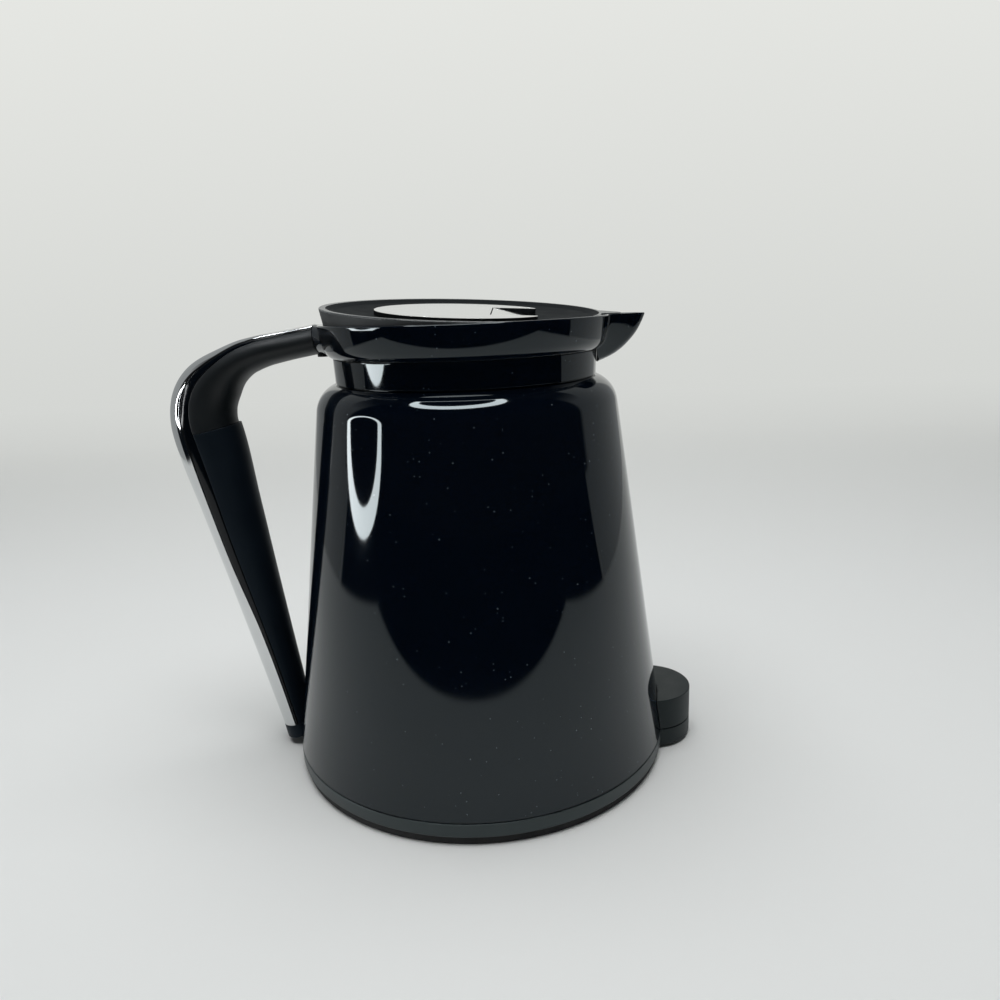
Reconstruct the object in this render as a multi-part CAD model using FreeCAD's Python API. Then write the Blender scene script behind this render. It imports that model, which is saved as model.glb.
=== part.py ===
import FreeCAD, Part
import math
import os

# Thermal carafe, in millimetres. The Z axis is the axis of the round body and the origin is the centre
# of the flat face that it stands on. +X points to the pouring spout and the docking lug, and the
# handle is on the -X side.

# Outer shell: a leaning wall with a rounded shoulder
base_radius = 66.15
seam_height = 7.35
shoulder_height = 133.6
shoulder_ledge = 5.63
shoulder_round = 6.8
shell_wall = 2.0

# Screw bosses inside the shell, and the screws that hold the base
boss_count = 4
boss_inset = 9.65
boss_radius = 4.0
boss_height = 6.5
boss_web = 3.0
screw_radius = 1.5
screw_play = 0.05
screw_hole_play = 0.2
screw_head_radius = 2.9
screw_head_height = 1.7
base_screw_length = 10.0

# Base: foot pad, base ring, base plate and the cushion under the liner
foot_inset = 0.85
foot_height = 2.6
foot_relief_depth = 0.8
foot_relief_inner_radius = 22.0
foot_relief_border = 15.0
base_flange = 2.4
base_flange_margin = 6.5
base_edge_round = 0.8
base_seam_chamfer = 0.35
spigot_play = 0.3
spigot_wall = 2.0
spigot_height = 3.0
base_plate_thickness = 2.2
base_plate_play = 0.3
cushion_outer_radius = 44.0
cushion_width = 16.0

# Docking lug on the spout side: the lower half is on the base ring, the upper half is a cover
lug_radius = 14.65
lug_inset = 3.55
lug_low = 1.05
lug_cover_height = 11.35
lug_wall = 2.2
lug_floor = 3.4
lug_seam = 0.3
lug_boss_radius = 3.4
lug_screw_offset = 7.0
lug_screw_length = 9.0

# Inner liner, in two welded pieces: a cup and a neck
liner_lift = 9.3
liner_gap = 4.0
liner_wall = 0.7
liner_corner = 9.0
liner_cup_drop = 11.6
liner_neck_drop = 5.8
liner_neck_inset = 7.9
liner_lip_width = 4.2

# Neck ring and the seal under the liner's lip
neck_radius = 43.9
neck_height = 8.6
neck_mouth_inset = 2.4
neck_shadow_gap = 0.6
neck_seat_inset = 1.0
neck_skirt = 4.6
neck_play = 0.3
neck_bore_play = 0.7
neck_edge_chamfer = 0.4
seal_height = 1.6
seal_seat_play = 0.3

# Pour collar: a bowl with a spout in front and a bridge to the handle behind
collar_height = 10.8
collar_overhang = 3.55
collar_belly_drop = 3.6
collar_belly_share = 0.7
collar_wall = 1.25
collar_floor = 1.2
collar_bore_play = 0.9
rim_lean = 0.2

# Spout: level sections, each a nose with a round tip
spout_length = 12.75
spout_keel_drop = 4.9
spout_half_width = 14.5
spout_tip_radius = 3.4
spout_wall = 1.6
spout_level_shares = (0.0, 0.13, 0.27, 0.42, 0.6, 0.79, 1.0)
spout_reach_shares = (0.0, 0.3, 0.51, 0.665, 0.81, 0.915, 1.0)
spout_width_shares = (0.5, 0.62, 0.72, 0.8, 0.88, 0.95, 1.0)
spout_tip_shares = (1.5, 1.45, 1.4, 1.3, 1.2, 1.1, 1.0)

# Handle: a spine of one straight run, one bend and one straight leg, in the XZ plane
handle_start_gap = 3.55
handle_start_drop = 5.0
handle_start_degrees = 9.6
handle_run = 22.2
handle_bend_radius = 21.6
handle_foot_offset = 3.3
handle_foot_rise = 0.85
handle_half_depth = 11.75
handle_half_width = 10.5
handle_gap = 0.2
handle_steps = 18
section_steps = 12
core_width_share = 0.42
core_depth_share = 0.55

# Shares along the spine, each with a share of the half depth or half width there
depth_shares = ((0.0, 0.43), (0.06, 0.44), (0.125, 0.5), (0.18, 0.61), (0.235, 0.84), (0.285, 0.95),
                (0.335, 1.0), (0.5, 0.87), (0.67, 0.72), (0.83, 0.59), (1.0, 0.47))
width_shares = ((0.0, 0.8), (0.125, 0.86), (0.335, 1.0), (0.67, 0.84), (1.0, 0.66))

# Shares along the spine, each with the line where the trim, or the grip, meets the frame
trim_line_shares = ((0.0, 0.84), (0.07, 0.84), (0.125, 0.8), (0.235, 0.55), (0.335, 0.35), (1.0, 0.03))
grip_line_shares = ((0.0, 0.64), (0.07, 0.68), (0.125, 0.6), (0.235, 0.3), (0.335, 0.15), (1.0, -0.14))

# Bridge between collar and handle, the tongue in it, and the end cap
bridge_root_inset = 0.9
bridge_root_drop = 5.5
bridge_root_half_depth = 5.4
bridge_root_half_width = 15.0
tongue_reach = 4.3
tongue_depth = 3.5
tongue_drop = 4.0
tongue_width = 8.0
tongue_height = 3.0
tongue_play = 0.25
bridge_screw_radius = 1.0
bridge_screw_inset = 3.0
bridge_head_radius = 1.9
bridge_head_height = 1.1
bridge_head_lift = 1.2
end_cap_length = 4.8
end_cap_gap = 0.25
shell_seat_play = 0.15
foot_screw_rise = 7.0
foot_screw_length = 3.6

# Lid: its top is cut on a slope, high on the handle's far side
lid_rise = 3.36
lid_slope_degrees = 4.78
lid_high_degrees = 135.0
lid_play = 0.35
lid_flare = 2.1
lid_flare_height = 8.0
lid_sink = 4.0
lid_edge_width = 1.15
lid_edge_height = 1.3
lid_rim_width = 1.7
dish_slope_width = 3.0
dish_edge_depth = 1.1
dish_depth = 2.2
lid_skin = 2.0
beak_length = 4.95
beak_thickness = 2.0
beak_play = 0.6
beak_tip_radius = 2.6

# Plate on the lid and the flap in it
plate_radius = 29.4
plate_thickness = 1.6
plate_chord = 24.4
flap_half_width = 14.0
flap_length = 15.0
flap_play = 0.3
flap_thickness = 1.2
flap_droop_degrees = 7.0
flap_barrel_radius = 1.7
flap_barrel_depth = 3.3
flap_barrel_play = 0.35
flap_pin_radius = 0.8
flap_pin_play = 0.04
flap_pin_hold = 3.0

# Plug under the lid, its seal and its screws
plug_flange_inset = 2.2
plug_flange = 2.2
plug_play = 0.8
plug_wall = 2.0
plug_length = 18.8
plug_window_half_width = 12.0
plug_window_height = 3.2
plug_seal_rise = 3.6
plug_seal_height = 5.0
plug_seal_depth = 0.8
plug_seal_play = 0.1
plug_seal_rib = 1.2
lid_screw_count = 3
lid_screw_inset = 3.8
lid_screw_first_degrees = 45.0
lid_screw_radius = 1.2
lid_screw_head_radius = 2.2
lid_screw_head_height = 1.2
lid_screw_length = 3.6

# Cuts run past the faces that they open by this much
overrun = 5.0

ORIGIN = FreeCAD.Vector(0, 0, 0)
BACK = FreeCAD.Vector(-1, 0, 0)
ACROSS = FreeCAD.Vector(0, 1, 0)
UP = FreeCAD.Vector(0, 0, 1)
TURN = 360

# Worked-out heights, from the foot up
base_plate_low = foot_height + base_flange
base_plate_high = base_plate_low + base_plate_thickness
spigot_top = seam_height + spigot_height
boss_top = seam_height + boss_height
lug_height = seam_height + lug_cover_height
foot_screw_height = seam_height + foot_screw_rise
liner_floor = base_plate_high + liner_lift
liner_cup_height = shoulder_height - liner_cup_drop
liner_neck_height = shoulder_height - liner_neck_drop
neck_top = shoulder_height + neck_height
seal_seat_low = neck_top - liner_wall - seal_height
spout_low = neck_top - spout_keel_drop
rim_height = neck_top + collar_height
collar_belly_height = rim_height - collar_belly_drop
handle_start_height = rim_height - handle_start_drop
tongue_low = handle_start_height - tongue_drop
bridge_head_seat = neck_top + bridge_head_lift
lid_base = rim_height - lid_sink
lid_rim_height = rim_height + lid_rise
plug_flange_low = lid_base - plug_flange
plug_low = plug_flange_low - plug_length
plug_seal_low = plug_low + plug_seal_rise

# Worked-out radii, from the neck
shoulder_radius = neck_radius + shoulder_ledge
shell_mouth_radius = neck_radius - neck_mouth_inset
neck_seat_radius = neck_radius - neck_seat_inset
liner_neck_radius = neck_radius - liner_neck_inset
liner_lip_radius = liner_neck_radius + liner_lip_width
neck_bore = liner_neck_radius + liner_wall + neck_bore_play
seal_seat_radius = liner_lip_radius + seal_seat_play
collar_bore = liner_neck_radius + collar_bore_play
collar_radius = neck_radius + collar_overhang
collar_inner_radius = collar_radius - rim_lean - collar_wall
spout_root = liner_neck_radius
spout_reach = collar_radius + spout_length
beak_reach = collar_radius + beak_length
lid_wall_radius = collar_inner_radius - lid_play
lid_base_radius = lid_wall_radius - lid_edge_width
plug_flange_radius = lid_base_radius - plug_flange_inset
lid_screw_circle = plug_flange_radius - lid_screw_inset
plug_radius = liner_neck_radius - plug_play
plug_bore = plug_radius - plug_wall
flap_hinge_place = plate_chord - flap_length

# Worked-out radii, from the base
wall_lean = math.atan((base_radius - shoulder_radius) / (shoulder_height - seam_height))
wall_across = shell_wall / math.cos(wall_lean)
boss_circle_radius = base_radius - boss_inset
base_flange_radius = boss_circle_radius - base_flange_margin
foot_radius = base_radius - foot_inset
foot_relief_outer_radius = foot_radius - foot_relief_border
cushion_inner_radius = cushion_outer_radius - cushion_width
lug_centre = base_radius - lug_inset

# Worked-out handle: the leg is the line from its foot that just touches the bend
handle_start_radius = collar_radius + handle_start_gap
handle_start_heading = math.radians(handle_start_degrees)
bend_centre_radius = (handle_start_radius + handle_run * math.cos(handle_start_heading)
                      - handle_bend_radius * math.sin(handle_start_heading))
bend_centre_height = (handle_start_height - handle_run * math.sin(handle_start_heading)
                      - handle_bend_radius * math.cos(handle_start_heading))
foot_across = base_radius + handle_foot_offset - bend_centre_radius
foot_down = seam_height + handle_foot_rise - bend_centre_height
foot_apart = math.hypot(foot_across, foot_down)
foot_heading = math.pi / 2 + math.atan2(-foot_down, foot_across)
handle_leg_heading = foot_heading - math.acos(handle_bend_radius / foot_apart)
handle_leg = math.sqrt(foot_apart ** 2 - handle_bend_radius ** 2)
handle_bend_end = handle_run + handle_bend_radius * (handle_leg_heading - handle_start_heading)
handle_length = handle_bend_end + handle_leg
bridge_screw_place = handle_start_radius - bridge_screw_inset
tongue_inner_radius = handle_start_radius - tongue_reach
bridge_root_radius = neck_radius - bridge_root_inset
bridge_root_height = rim_height - bridge_root_drop


def shell_radius(height):
    """Outer radius of the leaning wall at a height."""
    return base_radius - math.tan(wall_lean) * (height - seam_height)


def around(radius, degrees, height):
    """Point at a radius and an angle about the axis."""
    angle = math.radians(degrees)
    return FreeCAD.Vector(radius * math.cos(angle), radius * math.sin(angle), height)


def profile_face(steps):
    """Face in the XZ plane: a step is a (radius, height) corner, or an arc as a (middle, end) pair."""
    edges = []
    here = FreeCAD.Vector(steps[0][0], 0, steps[0][1])
    for step in steps[1:] + steps[:1]:
        if isinstance(step[0], tuple):
            middle = FreeCAD.Vector(step[0][0], 0, step[0][1])
            end = FreeCAD.Vector(step[1][0], 0, step[1][1])
            edges.append(Part.Arc(here, middle, end).toShape())
        else:
            end = FreeCAD.Vector(step[0], 0, step[1])
            edges.append(Part.makeLine(here, end))
        here = end
    return Part.Face(Part.Wire(edges))


def turned(steps):
    """Solid of revolution about Z from a closed profile."""
    return profile_face(steps).revolve(ORIGIN, UP, TURN)


def rod(radius, low, high, place=ORIGIN):
    """Upright cylinder between two heights, its axis through a place."""
    return Part.makeCylinder(radius, high - low, FreeCAD.Vector(place.x, place.y, low))


def block(near, far, half_width, low, high):
    """Box from x = near to x = far, centred on the XZ plane."""
    corner = FreeCAD.Vector(near, -half_width, low)
    return Part.makeBox(far - near, 2 * half_width, high - low, corner)


def read_off(table, share):
    """Value of a table of (share, value) rows at a share, on straight lines between its rows."""
    for (first, start), (second, end) in zip(table, table[1:]):
        if share <= second:
            return start + (end - start) * (share - first) / (second - first)
    return table[-1][1]


def wall_solid(inset, low, high):
    """Solid cone with the lean of the shell's wall, set in by an amount, between two heights."""
    return turned([(0, low), (shell_radius(low) - inset, low), (shell_radius(high) - inset, high), (0, high)])


def boss_angles():
    """Angles of the base screws, clear of the lug and the handle."""
    return [TURN / boss_count * (index + 1 / 2) for index in range(boss_count)]


def outer_shell():
    """Thin leaning wall, rounded over to a flat ledge round its mouth, with screw bosses at the bottom."""
    corner = shell_radius(shoulder_height)
    tangent = shoulder_round * math.tan((math.pi / 2 - wall_lean) / 2)
    centre = (corner - tangent, shoulder_height - shoulder_round)

    def shoulder_point(radius, angle):
        return (centre[0] + radius * math.cos(angle), centre[1] + radius * math.sin(angle))

    halfway = (wall_lean + math.pi / 2) / 2
    inner_round = shoulder_round - shell_wall
    shell = turned([
        (shell_radius(seam_height), seam_height),
        shoulder_point(shoulder_round, wall_lean),
        (shoulder_point(shoulder_round, halfway), shoulder_point(shoulder_round, math.pi / 2)),
        (shell_mouth_radius, shoulder_height),
        (shell_mouth_radius, shoulder_height - shell_wall),
        shoulder_point(inner_round, math.pi / 2),
        (shoulder_point(inner_round, halfway), shoulder_point(inner_round, wall_lean)),
        (shell_radius(seam_height) - wall_across, seam_height),
    ])
    web_end = shell_radius(boss_top) - wall_across / 2
    for degrees in boss_angles():
        boss = rod(boss_radius, seam_height, boss_top, around(boss_circle_radius, degrees, 0))
        web = block(boss_circle_radius, web_end, boss_web / 2, spigot_top + spigot_play, boss_top)
        web.rotate(ORIGIN, UP, degrees)
        pilot = rod(screw_radius + screw_play, seam_height, boss_top, around(boss_circle_radius, degrees, 0))
        shell = shell.fuse([boss, web]).cut(pilot)
    return shell.cut(foot_screw_hole(shell_wall + overrun, screw_hole_play)).removeSplitter()


def foot_screw_hole(inward, play):
    """Hole along X for the screw that holds the handle's lower end, from inside the wall outwards."""
    start = FreeCAD.Vector(-shell_radius(foot_screw_height) + inward, 0, foot_screw_height)
    return Part.makeCylinder(screw_radius + play, inward + foot_screw_length, start, BACK)


def foot_pad():
    """Flat pad that the carafe stands on, with a shallow ring of relief on its underside."""
    relief = rod(foot_relief_outer_radius, 0, foot_relief_depth)
    relief = relief.cut(rod(foot_relief_inner_radius, 0, foot_relief_depth))
    return rod(foot_radius, 0, foot_height).cut(relief)


def lug_outline(low, high, inset):
    """Upright cylinder of the docking lug between two heights, set in by a wall."""
    return rod(lug_radius - inset, low, high, FreeCAD.Vector(lug_centre, 0, 0))


def lug_screw_place():
    """Axis of the lug's screw, outside the shell's wall."""
    return FreeCAD.Vector(lug_centre + lug_screw_offset, 0, 0)


def base_ring():
    """Ring under the shell with a flange, a spigot inside the wall and the lower half of the lug."""
    spigot = shell_radius(spigot_top) - wall_across - spigot_play
    bend = base_edge_round * (1 - math.sqrt(1 / 2))
    ring = turned([
        (base_flange_radius, foot_height),
        (base_radius - base_edge_round, foot_height),
        ((base_radius - bend, foot_height + bend), (base_radius, foot_height + base_edge_round)),
        (base_radius, seam_height - base_seam_chamfer),
        (base_radius - base_seam_chamfer, seam_height),
        (spigot, seam_height),
        (spigot, spigot_top),
        (spigot - spigot_wall, spigot_top),
        (spigot - spigot_wall, base_plate_low),
        (base_flange_radius, base_plate_low),
    ])
    lug = lug_outline(lug_low, seam_height, 0).cut(rod(base_radius - base_seam_chamfer, 0, seam_height))
    hollow = lug_outline(lug_low + lug_floor, seam_height, lug_wall)
    hollow = hollow.cut(rod(base_radius + lug_wall, 0, seam_height))
    ring = ring.fuse(lug.cut(hollow))
    ring = ring.cut(rod(screw_radius + screw_hole_play, lug_low, seam_height, lug_screw_place()))
    sink_top = lug_low + screw_head_height
    ring = ring.cut(rod(screw_head_radius + screw_hole_play, lug_low, sink_top, lug_screw_place()))
    for degrees in boss_angles():
        place = around(boss_circle_radius, degrees, 0)
        ring = ring.cut(rod(screw_radius + screw_hole_play, foot_height, base_plate_low, place))
        sink = rod(screw_head_radius + screw_hole_play, foot_height, foot_height + screw_head_height, place)
        ring = ring.cut(sink)
    return ring.removeSplitter()


def base_plate():
    """Disc that closes the shell, clamped between the base ring and the bosses."""
    inside = shell_radius(spigot_top) - wall_across - spigot_play - spigot_wall
    plate = rod(inside - base_plate_play, base_plate_low, base_plate_high)
    for degrees in boss_angles():
        place = around(boss_circle_radius, degrees, 0)
        plate = plate.cut(rod(screw_radius + screw_hole_play, base_plate_low, base_plate_high, place))
    return plate


def base_screws():
    """Screws through the base ring and the base plate into the bosses."""
    screws = []
    for degrees in boss_angles():
        place = around(boss_circle_radius, degrees, 0)
        head = rod(screw_head_radius, foot_height, foot_height + screw_head_height, place)
        shank = rod(screw_radius, foot_height, foot_height + base_screw_length, place)
        screws.append(head.fuse(shank).removeSplitter())
    return Part.makeCompound(screws)


def liner_cushion():
    """Pad ring between the base plate and the floor of the liner."""
    outer = rod(cushion_outer_radius, base_plate_high, liner_floor)
    return outer.cut(rod(cushion_inner_radius, base_plate_high, liner_floor))


def lug_cover():
    """Upper half of the lug: a hollow cap that fits the leaning wall, with a screw boss inside."""
    low = seam_height + lug_seam
    cover = lug_outline(low, lug_height, 0)
    hollow = lug_outline(low, lug_height - lug_wall, lug_wall)
    hollow = hollow.cut(wall_solid(-lug_wall - shell_seat_play, 0, lug_height))
    boss = rod(lug_boss_radius, low, lug_height, lug_screw_place()).common(cover)
    cover = cover.cut(hollow).fuse(boss)
    cover = cover.cut(wall_solid(-shell_seat_play, 0, lug_height + overrun))
    pilot_top = lug_low + lug_screw_length + screw_play
    return cover.cut(rod(screw_radius + screw_play, low, pilot_top, lug_screw_place())).removeSplitter()


def lug_screw():
    """Screw from below that draws the cover down on the lug's lower half."""
    head = rod(screw_head_radius, lug_low, lug_low + screw_head_height, lug_screw_place())
    shank = rod(screw_radius, lug_low, lug_low + lug_screw_length, lug_screw_place())
    return head.fuse(shank).removeSplitter()


def liner_radius(height):
    """Outer radius of the liner's leaning wall at a height."""
    return shell_radius(height) - wall_across - liner_gap


def cup_solid(inset, top):
    """Solid of the liner's cup, set in from its outside, from its floor to a top height."""
    floor = liner_floor + inset
    corner_round = liner_corner - inset
    corner_height = floor + corner_round
    corner = liner_radius(corner_height) - inset
    bend = corner_round * (1 - math.sqrt(1 / 2))
    return turned([
        (0, floor),
        (corner - corner_round, floor),
        ((corner - bend, floor + bend), (corner, corner_height)),
        (liner_radius(top) - inset, top),
        (0, top),
    ])


def inner_liner():
    """Cup of the liner: a thin leaning wall with a rounded floor."""
    return cup_solid(0, liner_cup_height).cut(cup_solid(liner_wall, liner_cup_height))


def liner_neck():
    """Neck of the liner: a sloping shoulder, a straight bore and a flat lip that rests on the seal."""
    cup = liner_radius(liner_cup_height)
    outer = liner_neck_radius + liner_wall
    return turned([
        (cup - liner_wall, liner_cup_height),
        (cup, liner_cup_height),
        (outer, liner_neck_height),
        (outer, neck_top - liner_wall),
        (liner_lip_radius, neck_top - liner_wall),
        (liner_lip_radius, neck_top),
        (liner_neck_radius, neck_top),
        (liner_neck_radius, liner_neck_height - liner_wall),
    ])


def liner_seal():
    """Flat ring between the liner's lip and the neck ring."""
    outer = rod(liner_lip_radius, seal_seat_low, seal_seat_low + seal_height)
    return outer.cut(rod(neck_bore, seal_seat_low, seal_seat_low + seal_height))


def neck_ring():
    """Ring on the shell's ledge, with a skirt inside the mouth and a seat for the liner's seal."""
    skirt = shell_mouth_radius - neck_play
    lifted = shoulder_height + neck_shadow_gap
    return turned([
        (neck_bore, shoulder_height - neck_skirt),
        (skirt, shoulder_height - neck_skirt),
        (skirt, shoulder_height),
        (neck_seat_radius, shoulder_height),
        (neck_seat_radius, lifted),
        (neck_radius, lifted),
        (neck_radius, neck_top - neck_edge_chamfer),
        (neck_radius - neck_edge_chamfer, neck_top),
        (seal_seat_radius, neck_top),
        (seal_seat_radius, seal_seat_low),
        (neck_bore, seal_seat_low),
    ])


def belly_arc(radius, low_radius, low):
    """Side of the bowl from its foot to its widest height, as the arc of a profile."""
    rise = collar_belly_height - low
    middle = (low_radius + (radius - low_radius) * collar_belly_share, low + rise * (1 - collar_belly_share))
    return (middle, (radius, collar_belly_height))


def bowl_outside():
    """Solid of the bowl's outer face, up to the rim."""
    foot_radius = neck_radius - neck_edge_chamfer
    return turned([
        (0, neck_top),
        (foot_radius, neck_top),
        belly_arc(collar_radius, foot_radius, neck_top),
        (collar_radius - rim_lean, rim_height),
        (0, rim_height),
    ])


def bowl_inside():
    """Space inside the bowl, from the bore at its bottom to above the rim."""
    inner = collar_inner_radius
    floor = neck_top + collar_floor
    foot_radius = neck_radius - neck_edge_chamfer - collar_wall
    return turned([
        (0, neck_top - overrun),
        (collar_bore, neck_top - overrun),
        (collar_bore, floor),
        (foot_radius, floor + collar_floor),
        belly_arc(inner, foot_radius, floor + collar_floor),
        (inner, rim_height + overrun),
        (0, rim_height + overrun),
    ])


def nose_section(half_width, reach, tip_radius, height):
    """Level wire of a nose: a straight root, two flanks and a round tip that they run into."""
    centre = reach - tip_radius
    root = centre - spout_root
    apart = math.hypot(root, half_width)
    angle = math.atan2(half_width, -root) - math.acos(tip_radius / apart)
    side = FreeCAD.Vector(centre + tip_radius * math.cos(angle), tip_radius * math.sin(angle), height)
    other = FreeCAD.Vector(side.x, -side.y, height)
    tip = FreeCAD.Vector(reach, 0, height)
    corner = FreeCAD.Vector(spout_root, half_width, height)
    other_corner = FreeCAD.Vector(spout_root, -half_width, height)
    return Part.Wire([
        Part.makeLine(corner, side),
        Part.Arc(side, tip, other).toShape(),
        Part.makeLine(other, other_corner),
        Part.makeLine(other_corner, corner),
    ])


def nose_solid(wall):
    """Spout as a loft of level sections, from its keel to its rim, set in by a wall."""
    sections = []
    root_reach = neck_radius
    rows = zip(spout_level_shares, spout_reach_shares, spout_width_shares, spout_tip_shares)
    for level, reach, width, tip in rows:
        height = spout_low + level * (rim_height - spout_low) + wall
        length = root_reach + reach * (spout_reach - root_reach) - wall
        half_width = width * spout_half_width - wall
        sections.append(nose_section(half_width, length, tip * spout_tip_radius - wall, height))
    return Part.makeLoft(sections, True)


def spout_inside():
    """Channel in the spout above the floor of the bowl, open at the rim."""
    floor = neck_top + 2 * collar_floor
    lofted = nose_solid(spout_wall)
    keep = block(0, spout_reach + overrun, spout_reach, floor, rim_height + overrun)
    rim_face = nose_section(spout_half_width - spout_wall, spout_reach - spout_wall,
                            spout_tip_radius - spout_wall, rim_height)
    above = Part.Face(rim_face).extrude(UP * overrun)
    return lofted.common(keep).fuse(above)


def spine_point(travel):
    """Centre and outward direction of the handle after a travel along its spine."""
    bent = min(max(travel, handle_run), handle_bend_end) - handle_run
    heading = handle_start_heading + bent / handle_bend_radius
    straight = travel - handle_run - bent
    radius = bend_centre_radius + handle_bend_radius * math.sin(heading) + straight * math.cos(heading)
    height = bend_centre_height + handle_bend_radius * math.cos(heading) - straight * math.sin(heading)
    return FreeCAD.Vector(-radius, 0, height), FreeCAD.Vector(-math.sin(heading), 0, math.cos(heading))


class Station:
    """One oval cross-section of the handle."""

    def __init__(self, travel):
        share = min(travel / handle_length, 1)
        self.centre, self.outward = spine_point(travel)
        self.half_depth = handle_half_depth * read_off(depth_shares, share)
        self.half_width = handle_half_width * read_off(width_shares, share)
        self.trim_line = read_off(trim_line_shares, share)
        self.grip_line = read_off(grip_line_shares, share)

    def at(self, out, side):
        """Point at shares of the half depth and the half width."""
        return self.centre + self.outward * (out * self.half_depth) + ACROSS * (side * self.half_width)

    def arc(self, first, last):
        """Edge of the oval between two angles from its outer side."""
        angles = [first + (last - first) * step / section_steps for step in range(section_steps + 1)]
        curve = Part.BSplineCurve()
        curve.interpolate([self.at(math.cos(angle), math.sin(angle)) for angle in angles])
        return curve.toShape()

    def path(self, corners):
        """Straight edges through corners given as shares."""
        points = [self.at(out, side) for out, side in corners]
        return [Part.makeLine(first, second) for first, second in zip(points, points[1:])]


def trim_section(station):
    """Outer part of the oval, outside the trim line."""
    angle = math.acos(station.trim_line)
    ends = [(station.trim_line, math.sin(angle)), (station.trim_line, -math.sin(angle))]
    return Part.Wire([station.arc(-angle, angle)] + station.path(ends))


def frame_section(station):
    """Band between the trim line and the grip line, with a core that stands into the grip."""
    trim_line = station.trim_line - handle_gap / station.half_depth
    first = math.acos(trim_line)
    second = math.acos(station.grip_line)
    core = core_width_share
    corners = [
        (station.grip_line, math.sin(second)),
        (station.grip_line, core),
        (-core_depth_share, core),
        (-core_depth_share, -core),
        (station.grip_line, -core),
        (station.grip_line, -math.sin(second)),
    ]
    ends = [(trim_line, -math.sin(first)), (trim_line, math.sin(first))]
    sides = [station.arc(first, second)] + station.path(corners) + [station.arc(-second, -first)]
    return Part.Wire(sides + station.path(ends))


def grip_section(station):
    """Inner part of the oval, inside the grip line, with a channel round the frame's core."""
    line = station.grip_line - handle_gap / station.half_depth
    angle = math.acos(line)
    core = core_width_share + handle_gap / station.half_width
    depth = core_depth_share + handle_gap / station.half_depth
    corners = [
        (line, -math.sin(angle)),
        (line, -core),
        (-depth, -core),
        (-depth, core),
        (line, core),
        (line, math.sin(angle)),
    ]
    return Part.Wire([station.arc(angle, 2 * math.pi - angle)] + station.path(corners))


def full_section(station):
    """Whole oval."""
    return Part.Wire([station.arc(0, math.pi), station.arc(math.pi, 2 * math.pi)])


def handle_loft(section, first, last):
    """Smooth solid through one kind of section from one travel to another."""
    count = max(2, round(handle_steps * (last - first) / handle_length))
    travels = [first + (last - first) * step / count for step in range(count + 1)]
    return Part.makeLoft([section(Station(travel)) for travel in travels], True)


def tongue(play):
    """Tongue of the frame inside the bridge, grown by a play all round."""
    return block(-handle_start_radius - tongue_depth, -tongue_inner_radius + play, tongue_width / 2 + play,
                 tongue_low - play, tongue_low + tongue_height + play)


def bridge_place():
    """Axis of the bridge's screw."""
    return FreeCAD.Vector(-bridge_screw_place, 0, 0)


def bridge():
    """Flared stub from the bowl to the end of the handle."""
    end = Station(0)
    root = Station(0)
    root.centre = FreeCAD.Vector(-bridge_root_radius, 0, bridge_root_height)
    root.outward = UP
    root.half_depth = bridge_root_half_depth
    root.half_width = bridge_root_half_width
    return Part.makeLoft([full_section(root), full_section(end)], True)


def pour_collar():
    """Bowl, spout and bridge in one piece, open at the rim and over the neck's bore."""
    collar = bowl_outside().fuse([nose_solid(0), bridge()])
    collar = collar.cut([bowl_inside(), spout_inside()])
    collar = collar.cut(rod(neck_radius + shell_seat_play, spout_low - overrun, neck_top))
    above_rim = block(-2 * base_radius, 2 * base_radius, base_radius, rim_height, rim_height + overrun)
    collar = collar.cut([tongue(tongue_play), above_rim])
    seat = rod(bridge_head_radius + screw_hole_play, neck_top - overrun, bridge_head_seat, bridge_place())
    hole = rod(bridge_screw_radius + screw_hole_play, neck_top - overrun, tongue_low, bridge_place())
    return collar.cut([seat, hole]).removeSplitter()


def bridge_screw():
    """Screw from under the bridge into the frame's tongue."""
    head = rod(bridge_head_radius, bridge_head_seat - bridge_head_height, bridge_head_seat, bridge_place())
    shank = rod(bridge_screw_radius, bridge_head_seat, tongue_low + tongue_height, bridge_place())
    return head.fuse(shank).removeSplitter()


def handle_trim():
    """Bright strip down the outer side of the handle."""
    return handle_loft(trim_section, 0, handle_length)


def handle_frame():
    """Load-carrying middle of the handle, with the tongue at its upper end."""
    frame = handle_loft(frame_section, 0, handle_length).fuse(tongue(0))
    tongue_top = tongue_low + tongue_height
    frame = frame.cut(rod(bridge_screw_radius + screw_play, tongue_low, tongue_top, bridge_place()))
    frame = frame.cut(wall_solid(-shell_seat_play, 0, shoulder_height))
    return frame.cut(foot_screw_hole(shell_wall, screw_play)).removeSplitter()


def handle_bend_cover():
    """Matte cover on the inner side of the handle's bend."""
    cover = handle_loft(grip_section, 0, handle_bend_end)
    return cover.cut(tongue(tongue_play))


def handle_grip():
    """Soft grip on the inner side of the leg, seated on the shell at its lower end."""
    grip = handle_loft(grip_section, handle_bend_end + handle_gap, handle_length)
    grip = grip.cut(wall_solid(-shell_seat_play, 0, shoulder_height))
    return grip.cut(foot_screw_hole(shell_wall, screw_hole_play))


def handle_end_cap():
    """Cap on the lower end of the handle, against the base ring."""
    low = handle_length + end_cap_gap
    cap = handle_loft(full_section, low, low + end_cap_length)
    cap = cap.cut(rod(base_radius + shell_seat_play, 0, seam_height))
    return cap.cut(wall_solid(-shell_seat_play, 0, shoulder_height))


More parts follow.
